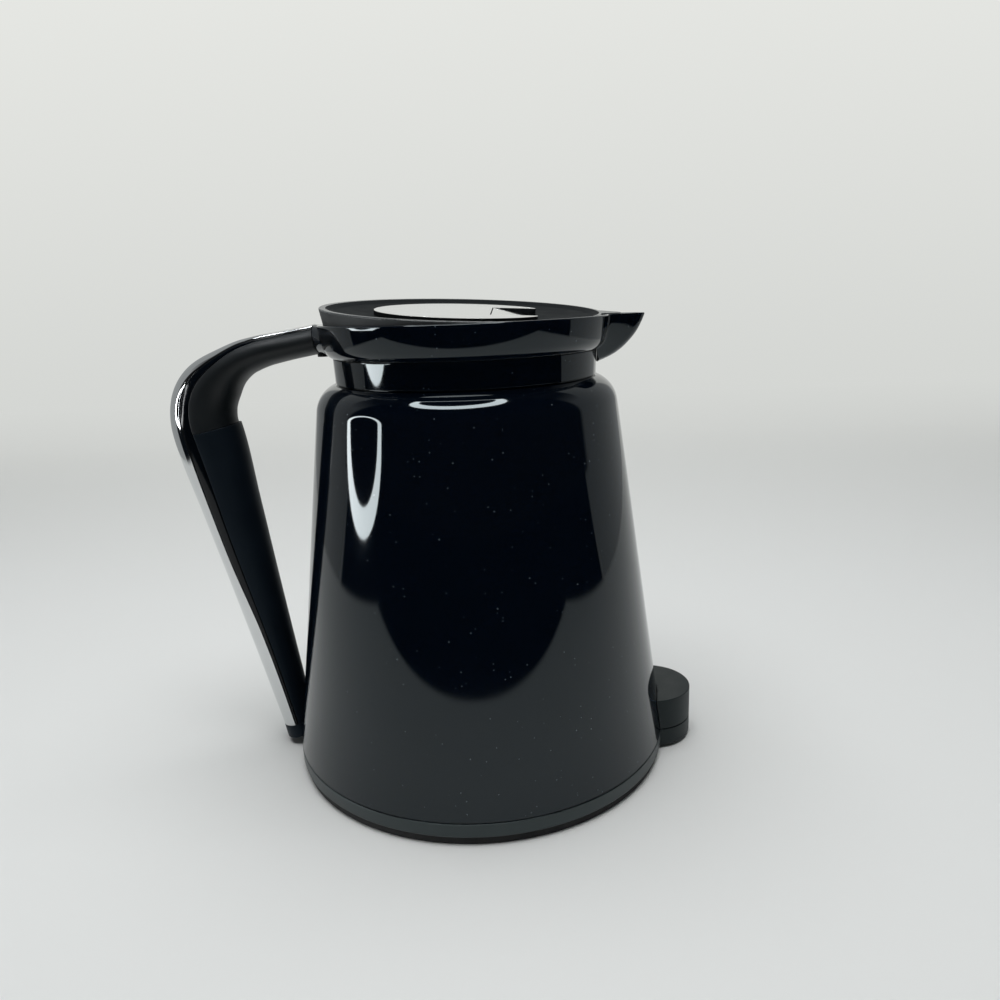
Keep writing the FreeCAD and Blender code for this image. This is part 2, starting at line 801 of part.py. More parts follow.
def handle_foot_screw():
    """Screw from inside the shell into the lower end of the frame."""
    seat = shell_radius(foot_screw_height + screw_head_radius) - wall_across - screw_play
    start = FreeCAD.Vector(-seat + screw_head_height, 0, foot_screw_height)
    head = Part.makeCylinder(screw_head_radius, screw_head_height, start, BACK)
    length = screw_head_height + shell_radius(foot_screw_height) - seat + foot_screw_length
    return head.fuse(Part.makeCylinder(screw_radius, length, start, BACK)).removeSplitter()


def sloped(shape):
    """Shape from the lid's own frame, whose XY plane is the sloping plane of its rim."""
    angle = math.radians(lid_high_degrees) - math.pi / 2
    axis = FreeCAD.Vector(math.cos(angle), math.sin(angle), 0)
    turn = FreeCAD.Rotation(axis, lid_slope_degrees)
    return shape.transformed(FreeCAD.Placement(UP * lid_rim_height, turn).toMatrix())


def flap_opening():
    """Opening for the flap in the lid's own frame, with a recess for the hinge barrel."""
    side = flap_half_width + flap_play
    hole = block(flap_hinge_place, plate_chord, side, -dish_depth - overrun, overrun)
    space = flap_barrel_radius + flap_barrel_play
    start = flap_hinge_place - space
    return hole.fuse(block(start, start + 2 * space, side, -dish_depth - overrun, overrun))


def flap_pin_rod(radius, play):
    """Rod on the flap's hinge axis, in the lid's own frame."""
    half = flap_half_width + flap_pin_hold + play
    start = FreeCAD.Vector(flap_hinge_place, -half, -flap_barrel_depth)
    return Part.makeCylinder(radius, 2 * half, start, ACROSS)


def lid_shell():
    """Lid with a flared wall, a top cut on a slope, a shallow dish in it and a beak over the spout."""
    top = lid_rim_height + lid_flare_height
    rise = top - rim_height
    body = turned([
        (0, lid_base),
        (lid_base_radius, lid_base),
        (lid_wall_radius, lid_base + lid_edge_height),
        (lid_wall_radius, rim_height),
        (lid_wall_radius + lid_flare * rise / lid_flare_height, top),
        (0, top),
    ])
    beak_low = rim_height - beak_thickness
    beak_face = Part.Face(nose_section(spout_half_width - spout_wall - beak_play, beak_reach,
                                       beak_tip_radius, beak_low))
    body = body.fuse(beak_face.extrude(UP * (top - beak_low)))
    over = rod(2 * base_radius, 0, lid_flare_height + rise)
    dish_radius = lid_wall_radius - lid_rim_width + lid_flare / 2
    dish = turned([
        (0, overrun),
        (dish_radius, overrun),
        (dish_radius, 0),
        (dish_radius - dish_slope_width, -dish_edge_depth),
        (plate_radius + flap_play, -dish_depth),
        (0, -dish_depth),
    ])
    hollow = rod(plug_bore, -dish_depth - lid_skin - lid_rim_height, -dish_depth - lid_skin)
    body = body.cut([sloped(over), sloped(dish), sloped(flap_opening())])
    rails = hinge_rails()
    body = body.cut(sloped(hollow).common(rod(plug_bore, lid_base, top))).fuse(rails)
    body = body.cut(sloped(flap_pin_rod(flap_pin_radius + flap_pin_play, flap_play)))
    for place in lid_screw_places():
        body = body.cut(rod(lid_screw_radius + screw_play, lid_base, lid_screw_top(), place))
    return body.removeSplitter()


def hinge_rails():
    """Two blocks under the lid's skin that hold the ends of the hinge pin."""
    side = flap_half_width + flap_play
    depth = flap_barrel_depth + flap_barrel_radius
    reach = flap_barrel_radius + flap_barrel_play
    half = flap_pin_hold / 2 + flap_play
    rail = block(flap_hinge_place - reach, flap_hinge_place + reach, half, -depth, -dish_depth)
    rails = []
    for sign in (1, -1):
        copy = rail.copy()
        copy.translate(ACROSS * (sign * (side + half)))
        rails.append(sloped(copy))
    return rails


def lid_plate():
    """Bright disc in the dish, cut straight towards the spout and open for the flap."""
    plate = rod(plate_radius, -dish_depth, plate_thickness - dish_depth)
    plate = plate.cut(block(plate_chord, base_radius, base_radius, -dish_depth, overrun))
    return sloped(plate.cut(flap_opening()))


def brew_flap():
    """Hinged flap in the plate, hanging a little open, with its hinge barrel below."""
    top = plate_thickness - dish_depth
    near = flap_hinge_place - flap_barrel_radius
    plate = block(near, plate_chord - flap_play, flap_half_width, top - flap_thickness, top)
    start = FreeCAD.Vector(flap_hinge_place, -flap_half_width, -flap_barrel_depth)
    barrel = Part.makeCylinder(flap_barrel_radius, 2 * flap_half_width, start, ACROSS)
    far = flap_hinge_place + flap_barrel_radius
    stem = block(near, far, flap_half_width, -flap_barrel_depth, top - flap_thickness)
    flap = plate.fuse([barrel, stem]).cut(flap_pin_rod(flap_pin_radius + flap_pin_play, flap_play))
    flap.rotate(FreeCAD.Vector(flap_hinge_place, 0, -flap_barrel_depth), ACROSS, flap_droop_degrees)
    return sloped(flap.removeSplitter())


def flap_pin():
    """Hinge pin of the flap."""
    return sloped(flap_pin_rod(flap_pin_radius, 0))


def lid_screw_places():
    """Axes of the screws that hold the plug under the lid."""
    step = TURN / lid_screw_count
    angles = [lid_screw_first_degrees + step * index for index in range(lid_screw_count)]
    return [around(lid_screw_circle, degrees, 0) for degrees in angles]


def lid_screw_top():
    """Height of the screws' upper ends."""
    return plug_flange_low + lid_screw_head_height + lid_screw_length


def lid_plug():
    """Stopper under the lid: a flange, a hollow barrel with a pour window, and a groove for its seal."""
    plug = turned([
        (plug_bore, plug_low),
        (plug_radius, plug_low),
        (plug_radius, plug_seal_low),
        (plug_radius - plug_seal_depth, plug_seal_low),
        (plug_radius - plug_seal_depth, plug_seal_low + plug_seal_height),
        (plug_radius, plug_seal_low + plug_seal_height),
        (plug_radius, plug_flange_low),
        (plug_flange_radius, plug_flange_low),
        (plug_flange_radius, lid_base),
        (plug_bore, lid_base),
    ])
    window_low = plug_flange_low - plug_window_height
    plug = plug.cut(block(0, plug_flange_radius, plug_window_half_width, window_low, plug_flange_low))
    for place in lid_screw_places():
        plug = plug.cut(rod(lid_screw_radius + screw_hole_play, plug_flange_low, lid_base, place))
        sink_top = plug_flange_low + lid_screw_head_height
        plug = plug.cut(rod(lid_screw_head_radius + screw_hole_play, plug_flange_low, sink_top, place))
    return plug.removeSplitter()


def lid_seal():
    """Ring with two wiping ribs in the plug's groove."""
    inner = plug_radius - plug_seal_depth
    outer = liner_neck_radius - plug_seal_play
    low = plug_seal_low
    high = plug_seal_low + plug_seal_height
    return turned([
        (inner, low),
        (outer, low),
        (outer, low + plug_seal_rib),
        (plug_radius, low + 2 * plug_seal_rib),
        (plug_radius, high - 2 * plug_seal_rib),
        (outer, high - plug_seal_rib),
        (outer, high),
        (inner, high),
    ])


def lid_screws():
    """Screws from below through the plug's flange into the lid."""
    screws = []
    for place in lid_screw_places():
        head = rod(lid_screw_head_radius, plug_flange_low, plug_flange_low + lid_screw_head_height, place)
        shank = rod(lid_screw_radius, plug_flange_low, lid_screw_top(), place)
        screws.append(head.fuse(shank).removeSplitter())
    return Part.makeCompound(screws)


pieces = (
    outer_shell, foot_pad, base_ring, base_plate, base_screws, liner_cushion, lug_cover, lug_screw,
    inner_liner, liner_neck, liner_seal, neck_ring, pour_collar, bridge_screw,
    handle_frame, handle_trim, handle_bend_cover, handle_grip, handle_end_cap, handle_foot_screw,
    lid_shell, lid_plate, brew_flap, flap_pin, lid_plug, lid_seal, lid_screws,
)

os.makedirs("parts", exist_ok=True)
for piece in pieces:
    shape = piece()
    shape.exportStep("parts/" + piece.__name__ + ".step")
    print(piece.__name__, len(shape.Solids), shape.isValid(), round(shape.Volume))
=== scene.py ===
"""Looks of a thermal carafe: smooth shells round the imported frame, their finishes, a pale table and a camera.

Sizes are in millimetres and meshes in metres. The Z axis is the axis of the body, +X points to the spout and
the handle is on the -X side. Angles round the axis are 0 at the spout.
"""
import math

import bmesh
import bpy
import numpy as np
from mathutils import Matrix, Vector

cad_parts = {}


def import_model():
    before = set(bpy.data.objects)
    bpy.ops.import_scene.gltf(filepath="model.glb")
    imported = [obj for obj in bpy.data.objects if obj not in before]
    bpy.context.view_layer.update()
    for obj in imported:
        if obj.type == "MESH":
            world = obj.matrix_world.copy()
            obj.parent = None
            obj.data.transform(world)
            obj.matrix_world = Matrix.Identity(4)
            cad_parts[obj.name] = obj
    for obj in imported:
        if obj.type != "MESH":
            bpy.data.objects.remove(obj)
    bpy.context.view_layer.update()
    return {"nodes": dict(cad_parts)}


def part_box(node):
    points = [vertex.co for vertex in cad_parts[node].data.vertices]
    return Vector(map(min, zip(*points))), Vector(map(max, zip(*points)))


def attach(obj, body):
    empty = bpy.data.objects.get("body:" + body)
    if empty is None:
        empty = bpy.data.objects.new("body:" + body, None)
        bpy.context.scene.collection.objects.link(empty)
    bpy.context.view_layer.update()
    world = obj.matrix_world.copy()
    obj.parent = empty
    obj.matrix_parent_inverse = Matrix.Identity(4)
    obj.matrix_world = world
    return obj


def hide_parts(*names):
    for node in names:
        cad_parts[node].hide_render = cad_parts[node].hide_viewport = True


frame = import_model()

MM = 0.001
TINY = 1e-9
MERGE = 1e-7


def span(node):
    """Lowest and highest corner of a CAD node, in millimetres."""
    low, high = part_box(node)
    return np.array(low) / MM, np.array(high) / MM


# Body sizes read off the frame
shell_low, shell_high = span("outer_shell")
neck_radius, _, neck_top = span("neck_ring")[1]
spout_reach, _, rim_height = span("pour_collar")[1]
foot_radius, _, foot_height = span("foot_pad")[1]
lug_low, lug_high = span("lug_cover")
base_low = span("base_ring")[0]
base_radius = -shell_low[0]
seam_height = shell_low[2]
shoulder_height = shell_high[2]
lug_radius = (lug_high[1] - lug_low[1]) / 2
lug_centre = lug_high[0] - lug_radius

# Play between pieces, and the small round on edges that hardly show
seat_play = 0.15
hidden_round = 0.2

# Body shell
shoulder_ledge = 5.63
shoulder_round = 12.6
shoulder_fall = math.tan(math.radians(23))
shoulder_inner_round = 4.8
shoulder_reach = 0.9
shell_wall = 2.0
shell_mouth_radius = neck_radius - 2.4
shoulder_radius = neck_radius + shoulder_ledge
wall_slope = (base_radius - shoulder_radius) / (shoulder_height - seam_height)
seam_roll = 0.15
seam_gap = 0.4

# Base ring, foot pad and docking lug
base_flange_radius = 50.0
base_flange_thickness = 2.4
base_edge_round = 0.8
seam_chamfer = 0.25
spigot_play = 0.7
spigot_rise = 3.0
spigot_wall = 2.0
foot_edge_round = 0.6
relief_radii = (22.0, 50.3)
relief_depth = 0.8
lug_edge_round = 0.3
lug_foot_round = 0.5
lug_bury = 0.5
lug_cap_offset = 8.0

# Neck ring
neck_shadow_gap = 0.5
neck_seat_inset = 1.0
neck_bore = neck_radius - 6.5
neck_edge_round = 0.25
neck_inner_round = 0.1
neck_draft = 0.32
neck_skirt_play = 0.3
neck_skirt_depth = 4.6
neck_step_width = 3.1
neck_step_depth = 2.3

# Pour collar, spout and bridge
collar_radius = neck_radius + 3.55
collar_foot_radius = neck_radius - 0.4
collar_widest_height = rim_height - 0.6
collar_belly_height = rim_height - 3.6
collar_belly_share = 0.7
bowl_lean = math.tan(math.radians(5.0))
bowl_arc = 32.0
bowl_foot_height = 3.2
collar_wall = 1.25
collar_rim_inset = 0.2
collar_floor = 1.2
collar_bore = neck_radius - 7.0
collar_inner_radius = collar_radius - collar_rim_inset - collar_wall
rim_round = 0.6
rim_flare = 0.7
crease_round = 0.5
crease_excess = 0.01
spout_root = neck_radius - 7.9
spout_low = neck_top - 4.9
spout_half_width = 14.5
spout_tip_radius = 3.4
spout_wall = 1.6
nose_half_turn = 0.6
nose_least_cosine = 0.2
# Rows of a level in the spout, then its reach, half width and tip radius there, all as shares
spout_shares = ((0, 0, 0.5, 1.5), (0.13, 0.3, 0.62, 1.45), (0.27, 0.51, 0.72, 1.4), (0.42, 0.665, 0.8, 1.3),
                (0.6, 0.81, 0.88, 1.2), (0.79, 0.915, 0.95, 1.1), (1, 1, 1, 1))
bridge_root = (-43.0, rim_height - 5.5)
bridge_root_half_depth = 5.4
bridge_root_half_width = 15.0
bridge_bury = 0.6
bridge_end_round = 0.35
bridge_rim_gap = 0.05

# Handle: a spine of one straight run, one bend and one straight leg, in the XZ plane
handle_start = (collar_radius + 3.55, rim_height - 5.0)
handle_start_heading = math.radians(9.6)
handle_run = 22.2
handle_bend_radius = 21.6
handle_bend_centre = (
    handle_start[0] + handle_run * math.cos(handle_start_heading)
    - handle_bend_radius * math.sin(handle_start_heading),
    handle_start[1] - handle_run * math.sin(handle_start_heading)
    - handle_bend_radius * math.cos(handle_start_heading),
)
handle_cut = 1.6
handle_cut_place = 31.0
handle_cut_reach = 17.0
handle_foot = (base_radius + 3.3, seam_height + 0.85)
handle_half_depth = 11.65
handle_half_width = 10.5
handle_lap = 1.9
handle_gap = 0.15
bright_roll = 0.4
matte_roll = 0.2
handle_end_roll = 0.12
bend_dip = 0.8
bend_dip_length = 14.0
closed_turn = 0.01
far_from_edge = 9.0
depth_shares = ((0.0, 0.43), (0.06, 0.44), (0.125, 0.5), (0.18, 0.61), (0.235, 0.84), (0.285, 0.95),
                (0.335, 1.0), (0.5, 0.87), (0.67, 0.72), (0.83, 0.59), (1.0, 0.47))
width_shares = ((0.0, 0.8), (0.125, 0.86), (0.335, 1.0), (0.67, 0.84), (1.0, 0.66))
outer_line_shares = ((0.0, 1.0), (1.0, 1.0))
trim_line_shares = ((0.0, 0.86), (0.07, 0.86), (0.125, 0.8), (0.235, 0.54), (0.335, 0.42), (0.5, 0.41),
                    (0.62, 0.35), (0.74, 0.13), (0.87, -0.03), (1.0, -0.1))
grip_line_shares = ((0.0, 0.7), (0.07, 0.72), (0.125, 0.62), (0.235, 0.26), (0.335, 0.13), (0.6, 0.04),
                    (0.87, -0.2), (1.0, -0.27))
inner_line_shares = ((0.0, -1.0), (1.0, -1.0))

# Lid: its top is cut on a slope, and the dish, plate and flap lie on that slope
lid_rim_height = rim_height + 3.36
lid_slope = math.radians(4.78)
lid_slope_axis = (1, 1, 0)
lid_wall_radius = collar_inner_radius - 0.35
lid_base = rim_height - 4.0
lid_base_radius = lid_wall_radius - 1.15
lid_base_rise = 1.3
lid_flare = 2.1 / 8.0
lid_lip_round = 0.45
lid_edge_round = 0.3
dish_radius = lid_wall_radius - 0.65
dish_slope_width = 3.0
dish_edge_depth = 1.1
dish_depth = 2.2
dish_round = 2.5
dish_seat_round = 0.5
dish_slack = 0.1
lid_skin = 2.0
lid_hollow_radius = 33.2
lid_hollow_draft = 0.4
beak_low = rim_height - 2.0
beak_reach = collar_radius + 4.95
beak_half_width = spout_half_width - spout_wall - 0.6
beak_tip_radius = 2.6
plate_radius = 29.4
plate_thickness = 1.6
plate_top = plate_thickness - dish_depth
plate_skin = 0.04
plate_skin_round = plate_skin / 3
plate_border = 0.04
hinge_border = 0.01
plate_chord = 24.4
plate_edge_round = 0.1
flap_half_width = 14.0
flap_play = 0.3
flap_hinge_place = plate_chord - 15.0
flap_hinge_depth = 3.3
flap_thickness = 1.2
flap_droop = math.radians(7.0)
flap_barrel_radius = 1.7
flap_barrel_play = 0.35
flap_corner_round = 0.3
flap_side_gap = 0.1
flap_edge_gap = 0.06
flap_opening_start = flap_hinge_place - flap_barrel_radius - flap_barrel_play
stem_inset = 0.2
stem_side_inset = 0.3

# Fineness of the grids: columns round a piece, rows along it, and the longest straight steps
turn_columns = 288
wall_stride = 5.0
shoulder_steps = 16
lug_columns = 160
lug_stride = 1.5
collar_columns = 560
collar_crowding = 0.8
collar_outer_rows = 44
collar_outer_power = 1.2
collar_inner_rows = 24
keel_rows = 80
bridge_columns = 128
bridge_stride = 1.0
handle_columns = 40
handle_rows = 220
handle_end_rows = 6
lid_columns = 480
lid_crowding = 0.6
lip_rounds = 4
plate_columns = 400
barrel_columns = 48
support_stretch = 1.3
support_gap = 0.02
support_limit = 1.05


def shell_radius(height):
    """Outer radius of the leaning wall at a height: a straight line from the seam to the shoulder corner."""
    return base_radius - wall_slope * (height - seam_height)


def eased(rows, share):
    """Value of a table of (share, value) rows: a cubic through them with slopes from their neighbours."""
    places, values = np.array(rows).T
    slopes = np.gradient(values, places)
    index = np.clip(np.searchsorted(places, share) - 1, 0, len(places) - 2)
    step = places[index + 1] - places[index]
    t = np.clip((share - places[index]) / step, 0, 1)
    start = (1 + 2 * t) * (1 - t) ** 2 * values[index] + t * (1 - t) ** 2 * step * slopes[index]
    return start + t ** 2 * (3 - 2 * t) * values[index + 1] - t ** 2 * (1 - t) * step * slopes[index + 1]


def rounded(corners, radii, closed=True, steps=6, reach=0.45):
    """Path through corners along the first axis, with an exact arc at each corner that has a radius.

    An arc starts at radius / tan(half the angle) from its corner, within a reach, as a share of the shorter
    side. It is a quadratic curve weighted by the sine of half the angle. Support points keep flat faces flat.
    """
    corners = np.asarray(corners, float)
    sides = [np.roll(corners, shift, axis=0) - corners for shift in (1, -1)]
    lengths = [np.linalg.norm(side, axis=-1, keepdims=True) + TINY for side in sides]
    to_last, to_next = (side / length for side, length in zip(sides, lengths))
    shortest = np.minimum(*lengths)
    half = np.arccos(np.clip((to_last * to_next).sum(-1, keepdims=True), -1, 1)) / 2 + TINY
    t = np.linspace(0, 1, steps + 1).reshape((-1,) + (1,) * (corners.ndim - 1))
    path = []
    for index, radius in enumerate(radii):
        corner = corners[index]
        if radius == 0 or (not closed and index in (0, len(radii) - 1)):
            path.append(corner[None])
            continue
        room = reach * shortest[index]
        tangent = np.minimum(radius / np.tan(half[index]), room)
        support = np.minimum(support_stretch * tangent + support_gap, support_limit * room)
        first = corner + to_last[index] * tangent
        second = corner + to_next[index] * tangent
        weight = np.sin(half[index])
        blend = (1 - t) ** 2 + 2 * weight * t * (1 - t) + t ** 2
        arc = ((1 - t) ** 2 * first + 2 * weight * t * (1 - t) * corner + t ** 2 * second) / blend
        path += [(corner + to_last[index] * support)[None], arc, (corner + to_next[index] * support)[None]]
    return np.concatenate(path)


def divided(path, longest):
    """Path along the first axis with its long straight stretches cut into steps of at most that length."""
    pieces = []
    for first, second in zip(path, path[1:]):
        count = max(1, math.ceil(np.linalg.norm(second - first, axis=-1).max() / longest))
        shares = np.arange(count).reshape((-1,) + (1,) * (path.ndim - 1)) / count
        pieces.append(first + (second - first) * shares)
    return np.concatenate(pieces + [path[-1:]])


def even_turn(columns):
    """Angles of one whole turn in even steps."""
    return np.linspace(0, 2 * math.pi, columns, endpoint=False)


def crowded_turn(columns, crowding):
    """Angles of one whole turn, closer together at the spout: even steps less a share of their sine."""
    turn = np.linspace(-math.pi, math.pi, columns, endpoint=False)
    return turn - crowding * np.sin(turn)


def around(angle, radius, height):
    """Points round the axis at each angle, on radii and heights that may change with it."""
    return np.stack([radius * np.cos(angle), radius * np.sin(angle), height + 0 * angle], -1)


def turned(profile, columns=turn_columns):
    """Grid of a (radius, height) profile carried round the Z axis."""
    return around(even_turn(columns), profile[:, :1], profile[:, 1:])


def at_height(outline, height):
    """Points of a flat outline at one height."""
    return np.concatenate([outline, np.full((len(outline), 1), height)], -1)


def block(outline, middle, low, high, rounds):
    """Upright block on a flat outline: rounded edges at two heights between two middles."""
    rows = ((middle, low), (outline, low), (outline, high), (middle, high))
    return rounded(np.stack([at_height(*row) for row in rows]), (0, *rounds, 0), closed=False)


def shell(points, wrap_rows=True, wrap_columns=True):
    """Corner points and four-sided faces of a grid, joined to itself along its rows, its columns or both."""
    rows, columns = points.shape[:2]
    index = np.arange(rows * columns).reshape(rows, columns)
    if wrap_rows:
        index = np.concatenate([index, index[:1]])
    if wrap_columns:
        index = np.concatenate([index, index[:, :1]], axis=1)
    faces = np.stack([index[:-1, :-1], index[:-1, 1:], index[1:, 1:], index[1:, :-1]], -1)
    return points.reshape(-1, 3), faces.reshape(-1, 4)


def put(name, data):
    """Object with this data, linked into the scene."""
    made = bpy.data.objects.new(name, data)
    bpy.context.scene.collection.objects.link(made)
    return made


def smooth_mesh(name, points, faces, material, weld=False):
    """Smooth mesh of points in metres; a welded one has closed poles and faces that point outwards."""
    mesh = bpy.data.meshes.new(name)
    mesh.from_pydata(points.tolist(), [], faces.tolist())
    if weld:
        work = bmesh.new()
        work.from_mesh(mesh)
        bmesh.ops.remove_doubles(work, verts=work.verts, dist=MERGE)
        bmesh.ops.recalc_face_normals(work, faces=work.faces)
        work.to_mesh(mesh)
        work.free()
    mesh.polygons.foreach_set("use_smooth", np.ones(len(mesh.polygons), bool))
    mesh.materials.append(material)
    return mesh


def piece(name, shells, material, body, slot, *nodes):
    """Object of one or more closed shells that rides on a body and stands for CAD nodes."""
    points, faces, count = [], [], 0
    for shell_points, shell_faces in shells:
        points.append(shell_points * MM)
        faces.append(shell_faces + count)
        count += len(shell_points)
    made = put(name, smooth_mesh(name, np.concatenate(points), np.concatenate(faces), material, weld=True))
    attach(made, body)
    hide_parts(*nodes)
    return made


def face_middles(made):
    """Middle of each face of a piece, in millimetres."""
    middles = np.empty(3 * len(made.data.polygons))
    made.data.polygons.foreach_get("center", middles)
    return middles.reshape(-1, 3) / MM


def add_finishes(made, choice, *materials):
    """Gives a piece further finishes; the choice is each face's finish, counted from the first."""
    for material in materials:
        made.data.materials.append(material)
    made.data.polygons.foreach_set("material_index", choice.astype(int))


# Finishes

def linear(code):
    """Linear colour of an sRGB hex code."""
    values = np.array([int(code[place:place + 2], 16) for place in (1, 3, 5)]) / 255
    values = np.where(values <= 0.04045, values / 12.92, ((values + 0.055) / 1.055) ** 2.4)
    return (*values.tolist(), 1.0)


def add(tree, kind, inputs=(), **settings):
    """Adds a shader node with its settings; an input is a value or the socket that it is linked to."""
    node = tree.nodes.new("ShaderNode" + kind)
    for name, value in settings.items():
        setattr(node, name, value)
    for socket, value in dict(inputs).items():
        if isinstance(value, bpy.types.NodeSocket):
            tree.links.new(value, node.inputs[socket])
        else:
            node.inputs[socket].default_value = value
    return node


def per(millimetres):
    """Texture scale whose pattern repeats about once in that many millimetres."""
    return 1 / (millimetres * MM)


def new_material(name):
    """Material with nodes, and its node tree."""
    material = bpy.data.materials.new(name)
    material.use_nodes = True
    return material, material.node_tree


# Most of the noise lies between these values
cloud_low, cloud_high = 0.3, 0.7
dust_colour = "#666e74"
dust_bare_share = 0.6
dust_largest = 0.13


def finish(name, dark, light, cloud, roughness, grain=None, grain_height=0.0, dust=None, **sockets):
    """Material with cloudy colour and roughness between two values, and an optional moulded grain as bump.

    cloud is the size of the clouds, grain that of the grain and dust the distance between specks of dust, in
    millimetres. Most of the dust's cells stay bare, and a speck is a round spot in the middle of its cell.
    """
    material, tree = new_material(name)
    shader = tree.nodes["Principled BSDF"]
    for socket, value in sockets.items():
        shader.inputs[socket.replace("_", " ")].default_value = value
    place = add(tree, "TexCoord").outputs["Object"]
    clouds = add(tree, "TexNoise", {"Vector": place, "Scale": per(cloud), "Detail": 4.0})
    shade = clouds.outputs["Fac"]
    colour = add(tree, "MixRGB", {0: shade, 1: linear(dark), 2: linear(light)}).outputs[0]
    if dust:
        cells = add(tree, "TexVoronoi", {"Vector": place, "Scale": per(dust)})
        draw = add(tree, "SeparateColor", {"Color": cells.outputs["Color"]})
        size = add(tree, "MapRange", {"Value": draw.outputs[0], "From Min": dust_bare_share,
                                      "To Min": 0.0, "To Max": dust_largest})
        speck = add(tree, "Math", {0: cells.outputs["Distance"], 1: size.outputs["Result"]},
                    operation="LESS_THAN")
        colour = add(tree, "MixRGB", {0: speck.outputs[0], 1: colour, 2: linear(dust_colour)}).outputs[0]
    tree.links.new(colour, shader.inputs["Base Color"])
    rough = add(tree, "MapRange", {"Value": shade, "From Min": cloud_low, "From Max": cloud_high,
                                   "To Min": roughness[0], "To Max": roughness[1]})
    tree.links.new(rough.outputs["Result"], shader.inputs["Roughness"])
    if grain:
        bumps = add(tree, "TexNoise", {"Vector": place, "Scale": per(grain), "Detail": 2.0})
        bump = add(tree, "Bump", {"Height": bumps.outputs["Fac"], "Distance": grain_height * MM,
                                  "Strength": 1.0})
        tree.links.new(bump.outputs["Normal"], shader.inputs["Normal"])
    return material


# Polished black ABS: a deep mirror-like black with faint wipe marks in its gloss and a little dust
body_gloss = finish("polished_black_abs", "#030912", "#060d18", 30, (0.03, 0.07), dust=1.6,
                    Specular_Tint=linear("#eaf6f8"))
# The same plastic on the handle, worn a little softer by hands
handle_gloss = finish("polished_black_abs_handle", "#04080d", "#070c13", 12, (0.06, 0.12),
                      Specular_IOR_Level=0.25)
# Moulded ABS with a satin texture: dark grey with soft broad highlights
base_satin = finish("satin_moulded_abs", "#2b3133", "#363d3f", 9, (0.36, 0.46), 0.35, 0.01,
                    Specular_Tint=linear("#e2f1f2"))
# The docking lug in the same plastic with a drier surface, its colour a shade darker as painted shade
lug_painted_shade = finish("satin_lug_abs_painted_shade", "#12181a", "#1a2022", 9, (0.42, 0.52), 0.35, 0.01,
                   Specular_IOR_Level=0.35, Specular_Tint=linear("#e2f1f2"))
# Spark-eroded ABS of the lid: dull dark grey with a fine grain
lid_matte = finish("grained_lid_abs", "#3d4143", "#484c4e", 7, (0.5, 0.62), 0.4, 0.02, Specular_IOR_Level=0.3)
# The same plastic on the lip, rubbed smoother by wiping
lip_satin = finish("rubbed_lip_abs", "#3d4143", "#484c4e", 7, (0.24, 0.32), 0.4, 0.006)
# The same plastic in the dish and under the plate and flap, drier, its colour darkened as painted shade
dish_painted_shade = finish("grained_dish_abs_painted_shade", "#15181a", "#1d2022", 7, (0.6, 0.72), 0.4, 0.02,
                    Specular_IOR_Level=0.02)
# Soft-touch coating of the grip: a dry black with a broad grey sheen
handle_matte = finish("soft_touch_coating", "#091019", "#0e1620", 11, (0.45, 0.56), 0.4, 0.012,
                      Specular_IOR_Level=0.25, Specular_Tint=linear("#c3dcea"))
# Moulded satin inside of the bend: a shade lighter than the grip, with a soft sheen
cover_matte = finish("satin_bend_abs", "#0d1317", "#141b1f", 11, (0.42, 0.5), 0.4, 0.01,
                     Specular_IOR_Level=0.35)
# Rubber foot: dull and nearly black
foot_rubber = finish("moulded_foot_rubber", "#101112", "#191a1b", 6, (0.7, 0.85), 0.5, 0.02)
# Silicone seals: grey with a faint skin gloss
seal_rubber = finish("moulded_silicone", "#4a4c4d", "#5a5c5d", 6, (0.4, 0.55), 0.6, 0.01)
# Spun stainless steel of the liner: bright, with a soft blur
liner_steel = finish("spun_stainless_steel", "#b4b6b7", "#c8cacb", 3, (0.2, 0.32), Metallic=1.0)
# Chromed strip of the handle: a clear mirror
trim_chrome = finish("chrome_plated_trim", "#c9cbcc", "#d6d8d9", 15, (0.03, 0.07), Metallic=1.0)
# Chromed plate of the lid: a mirror dulled by fine wipe marks
plate_chrome = finish("chrome_plated_plate", "#d6d8d9", "#e2e4e4", 8, (0.06, 0.14), Metallic=1.0)
# Black-oxide screw under the bridge: dull and dark
black_screw = finish("black_oxide_steel", "#0c0d0e", "#151617", 2, (0.45, 0.6), Metallic=0.6)
# Zinc-plated screws and pin: a soft grey shine
screw_steel = finish("zinc_plated_steel", "#8d9092", "#a3a6a8", 2, (0.25, 0.4), Metallic=1.0)

node_finishes = (
    (body_gloss, ("outer_shell", "neck_ring", "pour_collar")),
    (base_satin, ("base_ring", "base_plate", "lug_cover")),
    (foot_rubber, ("foot_pad", "liner_cushion")),
    (seal_rubber, ("liner_seal", "lid_seal")),
    (liner_steel, ("inner_liner", "liner_neck")),
    (handle_gloss, ("handle_frame",)),
    (handle_matte, ("handle_bend_cover", "handle_grip", "handle_end_cap")),
    (trim_chrome, ("handle_trim",)),
    (lid_matte, ("lid_shell", "lid_plug")),
    (plate_chrome, ("lid_plate", "brew_flap")),
    (screw_steel, ("base_screws", "lug_screw", "handle_foot_screw", "flap_pin", "lid_screws")),
    (black_screw, ("bridge_screw",)),
)
for material, nodes in node_finishes:
    for node in nodes:
        slots = frame["nodes"][node].data.materials
        slots.clear()
        slots.append(material)


# Body, base and neck

